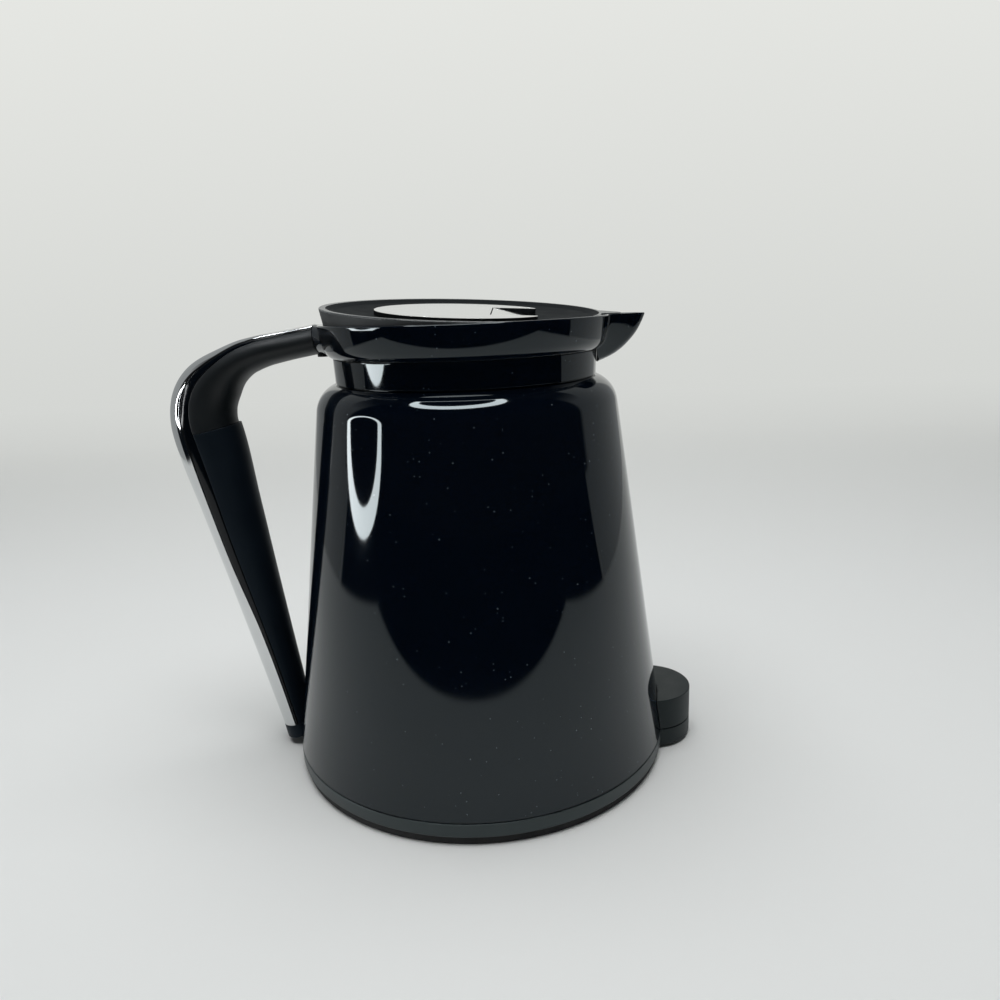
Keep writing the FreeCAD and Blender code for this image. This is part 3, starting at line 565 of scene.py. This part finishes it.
def outer_shell():
    """Leaning wall under a round shoulder that falls from the neck: a closed profile turned about the axis.

    The shoulder's corner is where the line of the wall meets the line of the fall.
    """
    foot = seam_height + seam_gap
    leaning = wall_slope * shoulder_fall
    corner_radius = (shoulder_radius - leaning * neck_radius) / (1 - leaning)
    corner_height = shoulder_height - shoulder_fall * (corner_radius - neck_radius)
    corners = [
        (shell_radius(foot), foot), (corner_radius, corner_height), (neck_radius, shoulder_height),
        (shell_mouth_radius, shoulder_height), (shell_mouth_radius, shoulder_height - shell_wall),
        (neck_radius, shoulder_height - shell_wall), (corner_radius - shell_wall, corner_height - shell_wall),
        (shell_radius(foot) - shell_wall, foot),
    ]
    radii = (seam_roll, shoulder_round, *[hidden_round] * 4, shoulder_inner_round, hidden_round)
    profile = rounded(corners, radii, steps=shoulder_steps, reach=shoulder_reach)
    profile = divided(np.concatenate([profile, profile[:1]]), wall_stride)[:-1]
    piece("body_shell", [shell(turned(profile))], body_gloss, "carafe", "body_gloss", "outer_shell")


def foot_pad():
    """Flat pad with a shallow ring of relief on its underside, turned about the axis."""
    corners = [
        (0, 0), (relief_radii[0], 0), (relief_radii[0], relief_depth), (relief_radii[1], relief_depth),
        (relief_radii[1], 0), (foot_radius, 0), (foot_radius, foot_height), (0, foot_height),
    ]
    profile = rounded(corners, (0, *[hidden_round] * 4, foot_edge_round, hidden_round, 0), closed=False)
    piece("foot_pad_soft", [shell(turned(profile), wrap_rows=False)], foot_rubber, "carafe", "foot_rubber",
          "foot_pad")


def clear_of_wall(points, radius_at):
    """Points pushed straight out from the axis until they stand outside a wall."""
    points = points.copy()
    radius = np.hypot(points[..., 0], points[..., 1])
    wanted = np.maximum(radius, radius_at(points[..., 2]))
    points[..., :2] *= (wanted / np.maximum(radius, TINY))[..., None]
    return points


def lug_stack(low, high, edge_rounds, radius_at):
    """Upright round block between two heights, rounded at its edges and fitted round a wall."""
    angle = even_turn(lug_columns)
    outline = np.stack([lug_centre + lug_radius * np.cos(angle), lug_radius * np.sin(angle)], -1)
    middle = (lug_centre + lug_cap_offset, 0) + 0 * outline
    path = divided(block(outline, middle, low, high, edge_rounds), lug_stride)
    return shell(clear_of_wall(path, radius_at), wrap_rows=False)


def base_and_lug():
    """Base ring turned about the axis, the lug's lower half on it, and the lug's cover above a fine seam."""
    spigot = shell_radius(seam_height) - shell_wall - spigot_play
    spigot_top = seam_height + spigot_rise
    flange_top = foot_height + base_flange_thickness
    corners = [
        (base_flange_radius, foot_height), (base_radius, foot_height), (base_radius, seam_height),
        (spigot, seam_height), (spigot, spigot_top), (spigot - spigot_wall, spigot_top),
        (spigot - spigot_wall, flange_top), (base_flange_radius, flange_top),
    ]
    profile = rounded(corners, (hidden_round, base_edge_round, seam_chamfer, *[hidden_round] * 5))
    lower = lug_stack(base_low[2], seam_height, (lug_foot_round, lug_edge_round),
                      lambda height: base_radius - lug_bury + 0 * height)
    ring = piece("base_ring_with_lug", [shell(turned(profile)), lower], base_satin, "carafe", "base_satin",
                 "base_ring")
    # The lug's faces, outside the base radius, take the lug's finish, whose darker colour is painted shade
    add_finishes(ring, np.hypot(*face_middles(ring).T[:2]) > base_radius, lug_painted_shade)
    cover = lug_stack(lug_low[2], lug_high[2], (lug_edge_round, lug_edge_round),
                      lambda height: shell_radius(height) + seat_play)
    # The lug's cover takes the same painted shade
    piece("lug_cap", [cover], lug_painted_shade, "carafe", "base_satin", "lug_cover")


def neck_ring():
    """Ring between the shoulder and the collar, standing over a narrow shadow gap, turned about the axis."""
    lifted = shoulder_height + neck_shadow_gap
    seat = neck_radius - neck_seat_inset
    skirt = shell_mouth_radius - neck_skirt_play
    skirt_low = shoulder_height - neck_skirt_depth
    step = neck_bore + neck_step_width
    step_low = neck_top - neck_step_depth
    corners = [
        (neck_bore, skirt_low), (skirt, skirt_low), (skirt, shoulder_height), (seat, shoulder_height),
        (seat, lifted), (neck_radius - neck_draft, lifted), (neck_radius, neck_top), (step, neck_top),
        (step, step_low), (neck_bore, step_low),
    ]
    radii = (hidden_round, hidden_round, 0, 0, neck_inner_round, neck_edge_round, neck_edge_round,
             hidden_round, neck_inner_round, hidden_round)
    piece("neck_band", [shell(turned(rounded(corners, radii)))], body_gloss, "carafe", "body_gloss",
          "neck_ring")


# Pour collar

def bowl_inside(height):
    """Inner radius of the bowl without its spout: an arc from its floor to its widest place, then a cylinder.

    The arc's centre is equally far from both ends and from a place between them.
    """
    low = np.array((collar_foot_radius - collar_wall, neck_top + 2 * collar_floor))
    high = np.array((collar_inner_radius, collar_belly_height))
    others = np.stack([low + (high - low) * (collar_belly_share, 1 - collar_belly_share), high])
    centre = np.linalg.solve(others - low, ((others ** 2).sum(1) - (low ** 2).sum()) / 2)
    arc = np.linalg.norm(low - centre)
    bent = centre[0] + np.sqrt(np.maximum(arc ** 2 - (height - centre[1]) ** 2, 0))
    return np.where(height < collar_belly_height, bent, collar_inner_radius)


def bowl_outside(height):
    """Outer radius of the bowl without its spout.

    Below its widest place the side leans in by a straight slope and a wide arc, and over the last few
    millimetres a quarter of an ellipse draws it in to the edge of its foot.
    """
    widest = collar_radius + rim_flare
    drop = np.maximum(collar_widest_height - height, 0)
    full = collar_widest_height - neck_top
    lean_in = bowl_lean * drop + drop ** 2 / (2 * bowl_arc)
    foot_in = widest - collar_foot_radius - bowl_lean * full - full ** 2 / (2 * bowl_arc)
    share = np.clip((drop - full + bowl_foot_height) / bowl_foot_height, 0, 1)
    return widest - lean_in - foot_in * (1 - np.sqrt(1 - share ** 2))


def nose(angle, half_width, reach, tip_radius):
    """Distance from the axis, at an angle, to a nose: two straight flanks that touch a round tip."""
    centre = reach - tip_radius
    root = centre - spout_root
    normal = np.arctan2(half_width, -root) - np.arccos(tip_radius / np.hypot(root, half_width))
    turn = np.abs(angle)
    touch = np.arctan2(tip_radius * np.sin(normal), centre + tip_radius * np.cos(normal))
    flank = (centre * np.cos(normal) + tip_radius) / np.maximum(np.cos(turn - normal), nose_least_cosine)
    tip = centre * np.cos(turn) + np.sqrt(np.maximum(tip_radius ** 2 - (centre * np.sin(turn)) ** 2, 0))
    return np.where(turn > nose_half_turn, 0, np.where(turn < touch, tip, flank))


def spout(angle, height, wall):
    """Distance from the axis to the spout, set in by a wall: a nose whose sizes change with the height."""
    share = np.clip((height - wall - spout_low) / (rim_height - spout_low), 0, 1)
    reach, width, tip = (eased(np.array(spout_shares)[:, [0, column]], share) for column in (1, 2, 3))
    return nose(angle, width * spout_half_width - wall,
                neck_radius + reach * (spout_reach - neck_radius) - wall, tip * spout_tip_radius - wall)


def collar_outside(angle, height):
    """Outer radius of the collar: the larger of bowl and spout, with a small round in the crease between."""
    bowl = np.where(height < neck_top, 0, bowl_outside(height))
    flow = spout(angle, height, 0)
    return (bowl + flow + np.sqrt((bowl - flow) ** 2 + crease_round ** 2)) / 2 - crease_excess


def collar_inside(angle, height):
    """Inner radius of the collar: the larger of the bowl's inside and the spout's channel."""
    return np.maximum(bowl_inside(height), spout(angle, height, spout_wall))


def pour_collar():
    """Bowl with its spout: at each angle a closed profile of floor, outer side, rim and inner side.

    Under the spout the outer side starts at its keel, the lowest height where it stands out of the neck.
    """
    angle = crowded_turn(collar_columns, collar_crowding)
    foot = neck_radius + seat_play
    levels = np.linspace(spout_low, neck_top, keel_rows)[:, None]
    open_levels = spout(angle[None], levels, 0) > foot
    keel = np.where(open_levels.any(0), levels[open_levels.argmax(0), 0], neck_top)
    foot_edge = np.where(keel < neck_top, foot, collar_foot_radius)
    rim_low = rim_height - 2 * rim_round
    outer = []
    for share in np.sin(np.linspace(0, math.pi / 2, collar_outer_rows)) ** collar_outer_power:
        height = keel + share * (rim_low - keel)
        outer.append(around(angle, np.maximum(collar_outside(angle, height), foot_edge), height))
    top_out = collar_outside(angle, rim_height + 0 * angle)
    top_in = collar_inside(angle, rim_height + 0 * angle)
    corners = [around(angle, *row)
               for row in ((top_out, rim_height), (top_in, rim_height), (top_in, rim_low))]
    rim = rounded(np.stack([outer[-1], *corners]), (0, rim_round, rim_round, 0), closed=False)
    inner = [around(angle, collar_inside(angle, height + 0 * angle), height)
             for height in np.linspace(rim_low, neck_top + 2 * collar_floor, collar_inner_rows)]
    floor = [around(angle, *row) for row in ((collar_bore, neck_top + collar_floor), (collar_bore, neck_top),
                                             (foot_edge, neck_top))]
    grid = np.concatenate([np.stack(outer), rim[1:-1], np.stack(inner + floor)])
    piece("pour_bowl", [shell(grid), bridge()], body_gloss, "carafe", "body_gloss", "pour_collar")


def bridge():
    """Flared stub from the bowl to the handle: ovals blended from its root to the handle's first section."""
    turn = even_turn(bridge_columns)
    end = oval(np.array([-handle_lap]), turn)[0]
    root = np.stack([bridge_root[0] + 0 * turn, bridge_root_half_width * np.sin(turn),
                     bridge_root[1] + bridge_root_half_depth * np.cos(turn)], -1)
    corners = np.stack([root.mean(0) + 0 * root, root, end, end.mean(0) + 0 * end])
    path = divided(rounded(corners, (0, 0, bridge_end_round, 0), closed=False), bridge_stride)
    path[..., 2] = np.minimum(path[..., 2], rim_height - bridge_rim_gap)
    return shell(clear_of_wall(path, lambda height: bowl_outside(np.maximum(height, neck_top)) - bridge_bury),
                 wrap_rows=False)


# Handle

def handle_ends():
    """Travel at the end of the bend and at the foot: the leg is a line from the foot that meets the bend."""
    across = handle_foot[0] - handle_bend_centre[0]
    down = handle_foot[1] - handle_bend_centre[1]
    apart = math.hypot(across, down)
    heading = math.pi / 2 + math.atan2(-down, across) - math.acos(handle_bend_radius / apart)
    bend_end = handle_run + handle_bend_radius * (heading - handle_start_heading)
    return bend_end, bend_end + math.sqrt(apart ** 2 - handle_bend_radius ** 2)


handle_bend_end, handle_length = handle_ends()


def spine(travel):
    """Centre and outward direction after a travel along the handle: run, bend and leg in the XZ plane.

    The bend starts softly: a smooth hump moves the centre inwards where the run goes over into it.
    """
    bent = np.clip(travel, handle_run, handle_bend_end) - handle_run
    heading = handle_start_heading + bent / handle_bend_radius
    straight = travel - handle_run - bent
    radius = handle_bend_centre[0] + handle_bend_radius * np.sin(heading) + straight * np.cos(heading)
    height = handle_bend_centre[1] + handle_bend_radius * np.cos(heading) - straight * np.sin(heading)
    outward = np.stack([-np.sin(heading), 0 * heading, np.cos(heading)], -1)
    near = np.clip((travel - handle_cut_place) / handle_cut_reach, -1, 1)
    cut = handle_cut * np.cos(near * math.pi / 2) ** 2
    return np.stack([-radius, 0 * heading, height], -1) - outward * cut[..., None], outward


def oval(travel, turn, inset=0.0):
    """Points of the handle's oval sections at angles from outside: half depth outwards, half width across."""
    share = np.clip(travel / handle_length, 0, 1)[:, None]
    depth = handle_half_depth * eased(depth_shares, share)
    width = handle_half_width * eased(width_shares, share)
    turn = turn + 0 * share
    normal = np.stack([np.cos(turn) / depth, np.sin(turn) / width], -1)
    normal /= np.linalg.norm(normal, axis=-1, keepdims=True)
    out = depth * np.cos(turn) - inset * normal[..., 0]
    side = width * np.sin(turn) - inset * normal[..., 1]
    centre, outward = spine(travel)
    points = centre[:, None] + outward[:, None] * out[..., None]
    points[..., 1] += side
    return points


def rolled(distance, radius):
    """How far a surface lies in at a distance from its edge, where the edge is a quarter round."""
    near = np.clip(radius - distance, 0, radius)
    return radius - np.sqrt(radius ** 2 - near ** 2)


def handle_band(first, last, upper_shares, gap, lower_shares, roll, dip=0.0):
    """Part of the handle between two lines across its ovals, with its edges rolled in towards the seams.

    A line is a table of its place on the half depth, and the upper one lies a gap further in. Each section
    is one side and its mirror image. The inner side may dip in towards the last section.
    """
    ease = handle_end_roll * np.linspace(0, 1, handle_end_rows) ** 2
    travel = np.unique(np.concatenate([np.linspace(first, last, handle_rows), first + ease, last - ease]))
    share = np.clip(travel / handle_length, 0, 1)[:, None]
    depth = handle_half_depth * eased(depth_shares, share)
    end = np.minimum(travel - first, last - travel)[:, None]
    top = np.arccos(np.clip(eased(upper_shares, share) - gap / depth, -1, 1))
    bottom = np.arccos(np.clip(eased(lower_shares, share), -1, 1))
    along = (1 - np.cos(np.linspace(0, math.pi, handle_columns)))[None] / 2
    turn = top + (bottom - top) * along
    edge = np.minimum(np.where(top > closed_turn, (turn - top) * depth, far_from_edge),
                      np.where(bottom < math.pi - closed_turn, (bottom - turn) * depth, far_from_edge))
    inset = np.maximum(rolled(edge, roll), rolled(end, handle_end_roll))
    late = np.clip(1 - (last - travel[:, None]) / bend_dip_length, 0, 1)
    inset = inset + dip * late ** 2 * (3 - 2 * late) * np.clip(-np.cos(turn), 0, 1)
    right = oval(travel, turn, inset)
    left = right[:, ::-1] * (1, -1, 1)
    loop = np.concatenate([right, left], axis=1)
    caps = [section.mean(1, keepdims=True) + 0 * section for section in (loop[:1], loop[-1:])]
    grid = np.concatenate([caps[0], loop, caps[1]])
    return shell(clear_of_wall(grid, lambda height: shell_radius(height) + seat_play), wrap_rows=False)


def handle():
    """Bright strip, gloss band, matte bend cover and grip along one spine."""
    start = handle_gap - handle_lap
    strip = handle_band(start, handle_length, outer_line_shares, 0, trim_line_shares, bright_roll)
    band = handle_band(start, handle_length, trim_line_shares, handle_gap, grip_line_shares, bright_roll)
    cover = handle_band(start, handle_bend_end, grip_line_shares, handle_gap, inner_line_shares, matte_roll,
                        bend_dip)
    grip = handle_band(handle_bend_end + handle_gap, handle_length, grip_line_shares, handle_gap,
                       inner_line_shares, matte_roll)
    piece("handle_strip", [strip], trim_chrome, "carafe", "trim_chrome", "handle_trim")
    piece("handle_gloss_band", [band], handle_gloss, "carafe", "handle_gloss", "handle_frame")
    piece("handle_bend_inside", [cover], cover_matte, "carafe", "handle_matte", "handle_bend_cover")
    piece("handle_leg_grip", [grip], handle_matte, "carafe", "handle_matte", "handle_grip")


# Lid

lid_turn = np.array(Matrix.Rotation(lid_slope, 3, lid_slope_axis))


def sloped(points):
    """Points from the lid's own frame, whose XY plane is the sloping plane of its rim."""
    return points @ lid_turn.T + (0, 0, lid_rim_height)


def slope_height(angle, radius):
    """Height of the sloping plane at an angle and a radius, from the plane's normal."""
    normal = lid_turn[:, 2]
    return lid_rim_height - (normal[0] * np.cos(angle) + normal[1] * np.sin(angle)) * radius / normal[2]


def rectangle_edge(angle, near, far, half_width):
    """Points where rays from a rectangle's middle, at these angles, meet its edge."""
    middle = (near + far) / 2
    reach = np.minimum((far - near) / 2 / np.maximum(np.abs(np.cos(angle)), TINY),
                       half_width / np.maximum(np.abs(np.sin(angle)), TINY))
    return np.stack([middle + reach * np.cos(angle), reach * np.sin(angle)], -1)


def lid_shell():
    """Lid: at each angle a closed profile of base, wall, sloping lip, dish, flap opening and hollow.

    The wall is the larger of a circle and the beak. It flares out up to the sloping plane, where a few rounds
    of the same step find its edge.
    """
    angle = crowded_turn(lid_columns, lid_crowding)
    beak = nose(angle, beak_half_width, beak_reach, beak_tip_radius)
    wall = np.maximum(lid_wall_radius, beak)
    lip = lid_wall_radius + 0 * angle
    for _ in range(lip_rounds):
        lip = np.maximum(lid_wall_radius + lid_flare * (slope_height(angle, lip) - rim_height), beak)
    opening = rectangle_edge(angle, flap_opening_start, plate_chord, flap_half_width + flap_play)
    under = -dish_depth - lid_skin
    upright = [around(angle, *row) for row in (
        (lid_hollow_radius, lid_base), (lid_base_radius, lid_base),
        (lid_wall_radius, lid_base + lid_base_rise), (lid_wall_radius, beak_low), (wall, beak_low),
        (lip, slope_height(angle, lip)))]
    leaning = (
        around(angle, dish_radius, 0), around(angle, dish_radius - dish_slope_width, -dish_edge_depth),
        around(angle, plate_radius + flap_play, -dish_depth), at_height(opening, -dish_depth),
        at_height(opening, under), around(angle, lid_hollow_radius - lid_hollow_draft, under),
    )
    radii = (hidden_round, lid_edge_round, lid_edge_round, 0, lid_edge_round, lid_lip_round,
             lid_lip_round, dish_round, dish_seat_round, hidden_round, hidden_round, lid_edge_round)
    grid = rounded(np.stack(upright + [sloped(row) for row in leaning]), radii)
    lid = piece("lid_dish", [shell(grid)], lid_matte, "lid", "lid_matte", "lid_shell")
    local = (face_middles(lid) - (0, 0, lid_rim_height)) @ lid_turn
    out = np.hypot(local[:, 0], local[:, 1]) > dish_radius - lid_lip_round
    in_dish = ~out & (local[:, 2] > -dish_depth - dish_slack)
    on_lip = out & (local[:, 2] > -lid_lip_round)
    # Dish faces take the finish darkened as painted shade, lip faces the smoother one
    add_finishes(lid, np.where(on_lip, 2, in_dish), dish_painted_shade, lip_satin)


def plate_layer(low, high, border, edge, start):
    """Layer of the plate: a strip between its round edge and the edge of the flap opening.

    The opening starts at a place along X. Both edges are set back by a border.
    """
    far = math.acos(plate_chord / plate_radius)
    share = np.linspace(0, 1, plate_columns)
    turn = far + share * (2 * math.pi - 2 * far)
    outer = np.stack([np.cos(turn), np.sin(turn)], -1) * (plate_radius - border)
    side = flap_half_width + flap_play + min(border, hinge_border)
    length = plate_chord - start
    along = share * (2 * length + 2 * side)
    inner = np.stack([np.maximum(start, plate_chord - np.minimum(along, along[::-1])),
                      np.clip(side + length - along, -side, side)], -1)
    corners = np.stack([at_height(*row)
                        for row in ((outer, low), (outer, high), (inner, high), (inner, low))])
    grid = rounded(corners, (edge / 2, edge, edge, edge / 2))
    caps = [grid[:, column].mean(0) + 0 * grid[:, column] for column in (0, -1)]
    grid = np.concatenate([caps[0][:, None], grid, caps[1][:, None]], axis=1)
    return shell(sloped(grid), wrap_columns=False)


def lid_plate():
    """Disc open towards the spout: a bright skin that reaches to the flap's hinge line, on a dark carrier."""
    skin = plate_layer(plate_top - plate_skin, plate_top, plate_border, plate_skin_round,
                       flap_hinge_place - flap_edge_gap)
    # The carrier's dark edges under the bright skin are painted shade
    carrier = plate_layer(-dish_depth, plate_top - plate_skin, 0, plate_edge_round, flap_opening_start)
    piece("lid_bright_plate", [skin], plate_chrome, "lid", "plate_chrome", "lid_plate")
    piece("lid_plate_carrier", [carrier], dish_painted_shade, "lid", "lid_matte", "lid_plate")


def slab(near, far, half_width, low, high, edge, corner):
    """Flat block on a rectangle from near to far along X, with rounded corners and edges."""
    outline = rounded([(near, -half_width), (far, -half_width), (far, half_width), (near, half_width)],
                      [corner] * 4)
    return block(outline, outline.mean(0) + 0 * outline, low, high, (edge, edge))


def brew_flap():
    """Hinged flap, hanging a little open: a bright skin on a dark slab, with a stem and a barrel on the pin.

    Skin and slab start at the hinge line. All of it is built level, then turned about the hinge by the droop.
    """
    near = flap_hinge_place - flap_barrel_radius
    far = plate_chord - flap_play
    half_width = flap_half_width + flap_play - flap_side_gap
    skin = slab(flap_hinge_place + hinge_border, far - plate_border, half_width - hinge_border,
                plate_top - plate_skin, plate_top, plate_skin_round, flap_corner_round)
    # The carrier's dark edges under the bright skin are painted shade
    carrier = slab(flap_hinge_place, far, half_width, plate_top - flap_thickness, plate_top - plate_skin,
                   plate_edge_round, flap_corner_round)
    stem = slab(near + stem_inset, near + 2 * flap_barrel_radius - stem_inset,
                flap_half_width - stem_side_inset, -flap_hinge_depth, plate_top - flap_thickness / 2,
                plate_edge_round, hidden_round)
    profile = rounded([(0, -flap_half_width), (flap_barrel_radius, -flap_half_width),
                       (flap_barrel_radius, flap_half_width), (0, flap_half_width)],
                      (0, hidden_round, hidden_round, 0), closed=False)
    hinge = np.array((flap_hinge_place, 0, -flap_hinge_depth))
    barrel = turned(profile, barrel_columns)[..., [0, 2, 1]] + hinge
    droop = np.array(Matrix.Rotation(flap_droop, 3, "Y"))
    skin, *under = [shell(sloped((grid - hinge) @ droop.T + hinge), wrap_rows=False)
                    for grid in (skin, carrier, stem, barrel)]
    piece("lid_flap", [skin], plate_chrome, "flap", "plate_chrome", "brew_flap")
    # Slab, stem and barrel take the dark finish, painted shade under the bright skin
    piece("lid_flap_carrier", under, dish_painted_shade, "flap", "lid_matte", "brew_flap")


outer_shell()
foot_pad()
base_and_lug()
neck_ring()
pour_collar()
handle()
lid_shell()
lid_plate()
brew_flap()


# Stage, light and camera, with their sizes in metres

sweep_front = -2.6
sweep_half_width = 2.6
floor_end = 0.62
sweep_bend = 0.25
sweep_bend_rows = 24
wall_top = 1.7
card_columns = 96
camera_right = (0.99911892, 0.01973215, -0.03704089)
camera_up = (0.03103865, 0.24664473, 0.96860879)
camera_place = (0.01784092, -0.27588874, 0.160335)
camera_lens = 29.124
camera_sensor = 36


def paper():
    """White paper: a matte floor that fades to an even pale backdrop far away.

    Mirrors see a floor as large as a table, a dark room past its front and near flanks, a dim wall past its
    far flanks and the backdrop ahead. Ramps over the sweep give these areas, and small sums join them.
    """
    material, tree = new_material("matte_white_paper")
    shader = tree.nodes["Principled BSDF"]
    for socket, value in (("Base Color", linear("#dfe1e0")), ("Roughness", 0.9), ("Specular IOR Level", 0.1)):
        shader.inputs[socket].default_value = value
    spot = add(tree, "TexCoord").outputs["Object"]
    place = add(tree, "SeparateXYZ", {"Vector": spot}).outputs
    width = add(tree, "Math", {0: place["X"]}, operation="ABSOLUTE").outputs[0]
    distance = add(tree, "VectorMath", {0: spot}, operation="LENGTH").outputs["Value"]
    ray = add(tree, "LightPath").outputs
    areas = {"camera": ray["Is Camera Ray"], "mirror": ray["Is Glossy Ray"]}
    ramps = (
        ("front", place["Y"], -0.25, -0.262), ("near", place["Y"], 0.02, 0.0),
        ("far", place["Y"], 0.15, 0.75), ("high", place["Z"], 0.0, 0.7),
        ("side", width, 0.42, 0.45), ("away", distance, 0.4, 1.0),
    )
    for name, source, start, end in ramps:
        ramp = add(tree, "MapRange", {"Value": source, "From Min": start, "From Max": end})
        areas[name] = ramp.outputs["Result"]
    sums = (
        ("near_flank", "side", "MULTIPLY", "near"), ("far_flank", "side", "SUBTRACT", "near_flank"),
        ("off_table", "front", "MAXIMUM", "near_flank"), ("dark", "off_table", "MULTIPLY", "mirror"),
        ("dimmed", "far_flank", "MULTIPLY", "mirror"), ("looking", "camera", "MAXIMUM", "mirror"),
        ("ahead", "far", "MULTIPLY", "looking"), ("faded", "away", "MULTIPLY", "camera"),
        ("backdrop", "ahead", "MAXIMUM", "faded"), ("pale", "backdrop", "MAXIMUM", "dimmed"),
    )
    for name, first, operation, second in sums:
        step = add(tree, "Math", {0: areas[first], 1: areas[second]}, operation=operation)
        areas[name] = step.outputs[0]
    room = add(tree, "Emission", {"Color": linear("#0b0f14"), "Strength": 1.0})
    floor = add(tree, "MixShader", {0: areas["dark"], 1: shader.outputs[0], 2: room.outputs[0]})
    tone = add(tree, "MixRGB", {0: areas["high"], 1: linear("#d3d5d2"), 2: linear("#eaebe7")})
    tone = add(tree, "MixRGB", {0: areas["dimmed"], 1: tone.outputs[0], 2: linear("#9fa2a2")})
    wall = add(tree, "Emission", {"Color": tone.outputs[0], "Strength": 1.0})
    both = add(tree, "MixShader", {0: areas["pale"], 1: floor.outputs[0], 2: wall.outputs[0]})
    tree.links.new(both.outputs[0], tree.nodes["Material Output"].inputs["Surface"])
    return material


def stage():
    """Pale sweep: a floor that curves up to a far wall, as a profile carried across."""
    turn = np.linspace(0, math.pi / 2, sweep_bend_rows)
    x = np.array([[-sweep_half_width, sweep_half_width]])
    y = np.concatenate([[sweep_front], floor_end + sweep_bend * np.sin(turn), [floor_end + sweep_bend]])
    z = np.concatenate([[0.0], sweep_bend - sweep_bend * np.cos(turn), [wall_top]])
    grid = np.stack([x + 0 * y[:, None], y[:, None] + 0 * x, z[:, None] + 0 * x], -1)
    points, faces = shell(grid, wrap_rows=False, wrap_columns=False)
    put("sweep", smooth_mesh("sweep", points, faces[:, ::-1], paper()))


def world():
    """Pale room: even light for dull surfaces; mirrors see a pale side behind and a dark side in front."""
    room = bpy.data.worlds.new("room")
    bpy.context.scene.world = room
    room.use_nodes = True
    tree = room.node_tree
    even = tree.nodes["Background"]
    even.inputs["Color"].default_value = linear("#c4c7c8")
    spot = add(tree, "TexCoord").outputs["Generated"]
    place = add(tree, "SeparateXYZ", {"Vector": spot}).outputs
    ramps = (("Y", -0.6, 0.6, 0.1, 0.6), ("Y", 0.05, 0.11, 0.012, 0.4), ("Z", 0.75, 0.5, 0.05, 1.0))
    level, behind, below = [
        add(tree, "MapRange", {"Value": place[axis], "From Min": start, "From Max": end,
                               "To Min": low, "To Max": high}).outputs["Result"]
        for axis, start, end, low, high in ramps]
    tree.links.new(level, even.inputs["Strength"])
    pane = add(tree, "Math", {0: behind, 1: below}, operation="MULTIPLY")
    seen = add(tree, "Background", {"Color": linear("#f2f5f6"), "Strength": pane.outputs[0]})
    pale = add(tree, "Background", {"Color": linear("#dcdedd"), "Strength": 1.0})
    ray = add(tree, "LightPath").outputs
    mixed = even
    for kind, view in (("Is Glossy Ray", seen), ("Is Camera Ray", pale)):
        mixed = add(tree, "MixShader", {0: ray[kind], 1: mixed.outputs[0], 2: view.outputs[0]})
    tree.links.new(mixed.outputs[0], tree.nodes["World Output"].inputs["Surface"])


def soft_box(name, place, size, power):
    """Rectangular lamp that shines straight down and stays out of mirrors."""
    data = bpy.data.lights.new(name, "AREA")
    data.shape = "RECTANGLE"
    data.size, data.size_y = size
    data.energy = power
    made = put(name, data)
    made.location = place
    made.visible_glossy = False


def glow_card(name, place, across, rise, tall, hole, hole_lift, strength):
    """Bright card that only mirrors see: an oval on two half axes, its upper half taller by a factor.

    Its hole is a share of the oval, lifted by a share of the rise.
    """
    turn = even_turn(card_columns)[:, None]
    across, rise = np.array(across), np.array(rise)
    edge = across * np.cos(turn) + rise * np.sin(turn) * np.where(np.sin(turn) > 0, tall, 1)
    points, faces = shell(np.stack([place + edge, place + hole * edge + hole_lift * rise]), wrap_rows=False)
    material, tree = new_material("lit_card")
    glow = add(tree, "Emission", {"Color": linear("#fbfdff"), "Strength": strength})
    tree.links.new(glow.outputs[0], tree.nodes["Material Output"].inputs["Surface"])
    made = put(name, smooth_mesh(name, points, faces, material))
    made.visible_camera = made.visible_diffuse = made.visible_shadow = False


def camera():
    """Camera at the photograph's place, angle and lens."""
    data = bpy.data.cameras.new("camera")
    data.lens = camera_lens
    data.sensor_width = camera_sensor
    made = put("camera", data)
    matrix = np.identity(4)
    matrix[:3] = np.stack([camera_right, camera_up, np.cross(camera_right, camera_up), camera_place], -1)
    made.matrix_world = Matrix(matrix.tolist())
    bpy.context.scene.camera = made


stage()
world()
soft_box("overhead_box", (-0.05, -0.05, 1.0), (0.9, 0.8), power=10.0)
glow_card("ceiling_card", (-0.05, -0.17, 0.73), across=(0.28, 0, 0), rise=(0, 0.24, 0), tall=1.0,
          hole=0.7, hole_lift=0.3, strength=14.0)
glow_card("ring_card", (-0.722, -0.189, 0.139), across=(-0.0525, 0.21, 0), rise=(0, 0, 0.118), tall=2.2,
          hole=0.8, hole_lift=0.12, strength=14.0)
camera()
bpy.context.scene.view_settings.view_transform = "Standard"
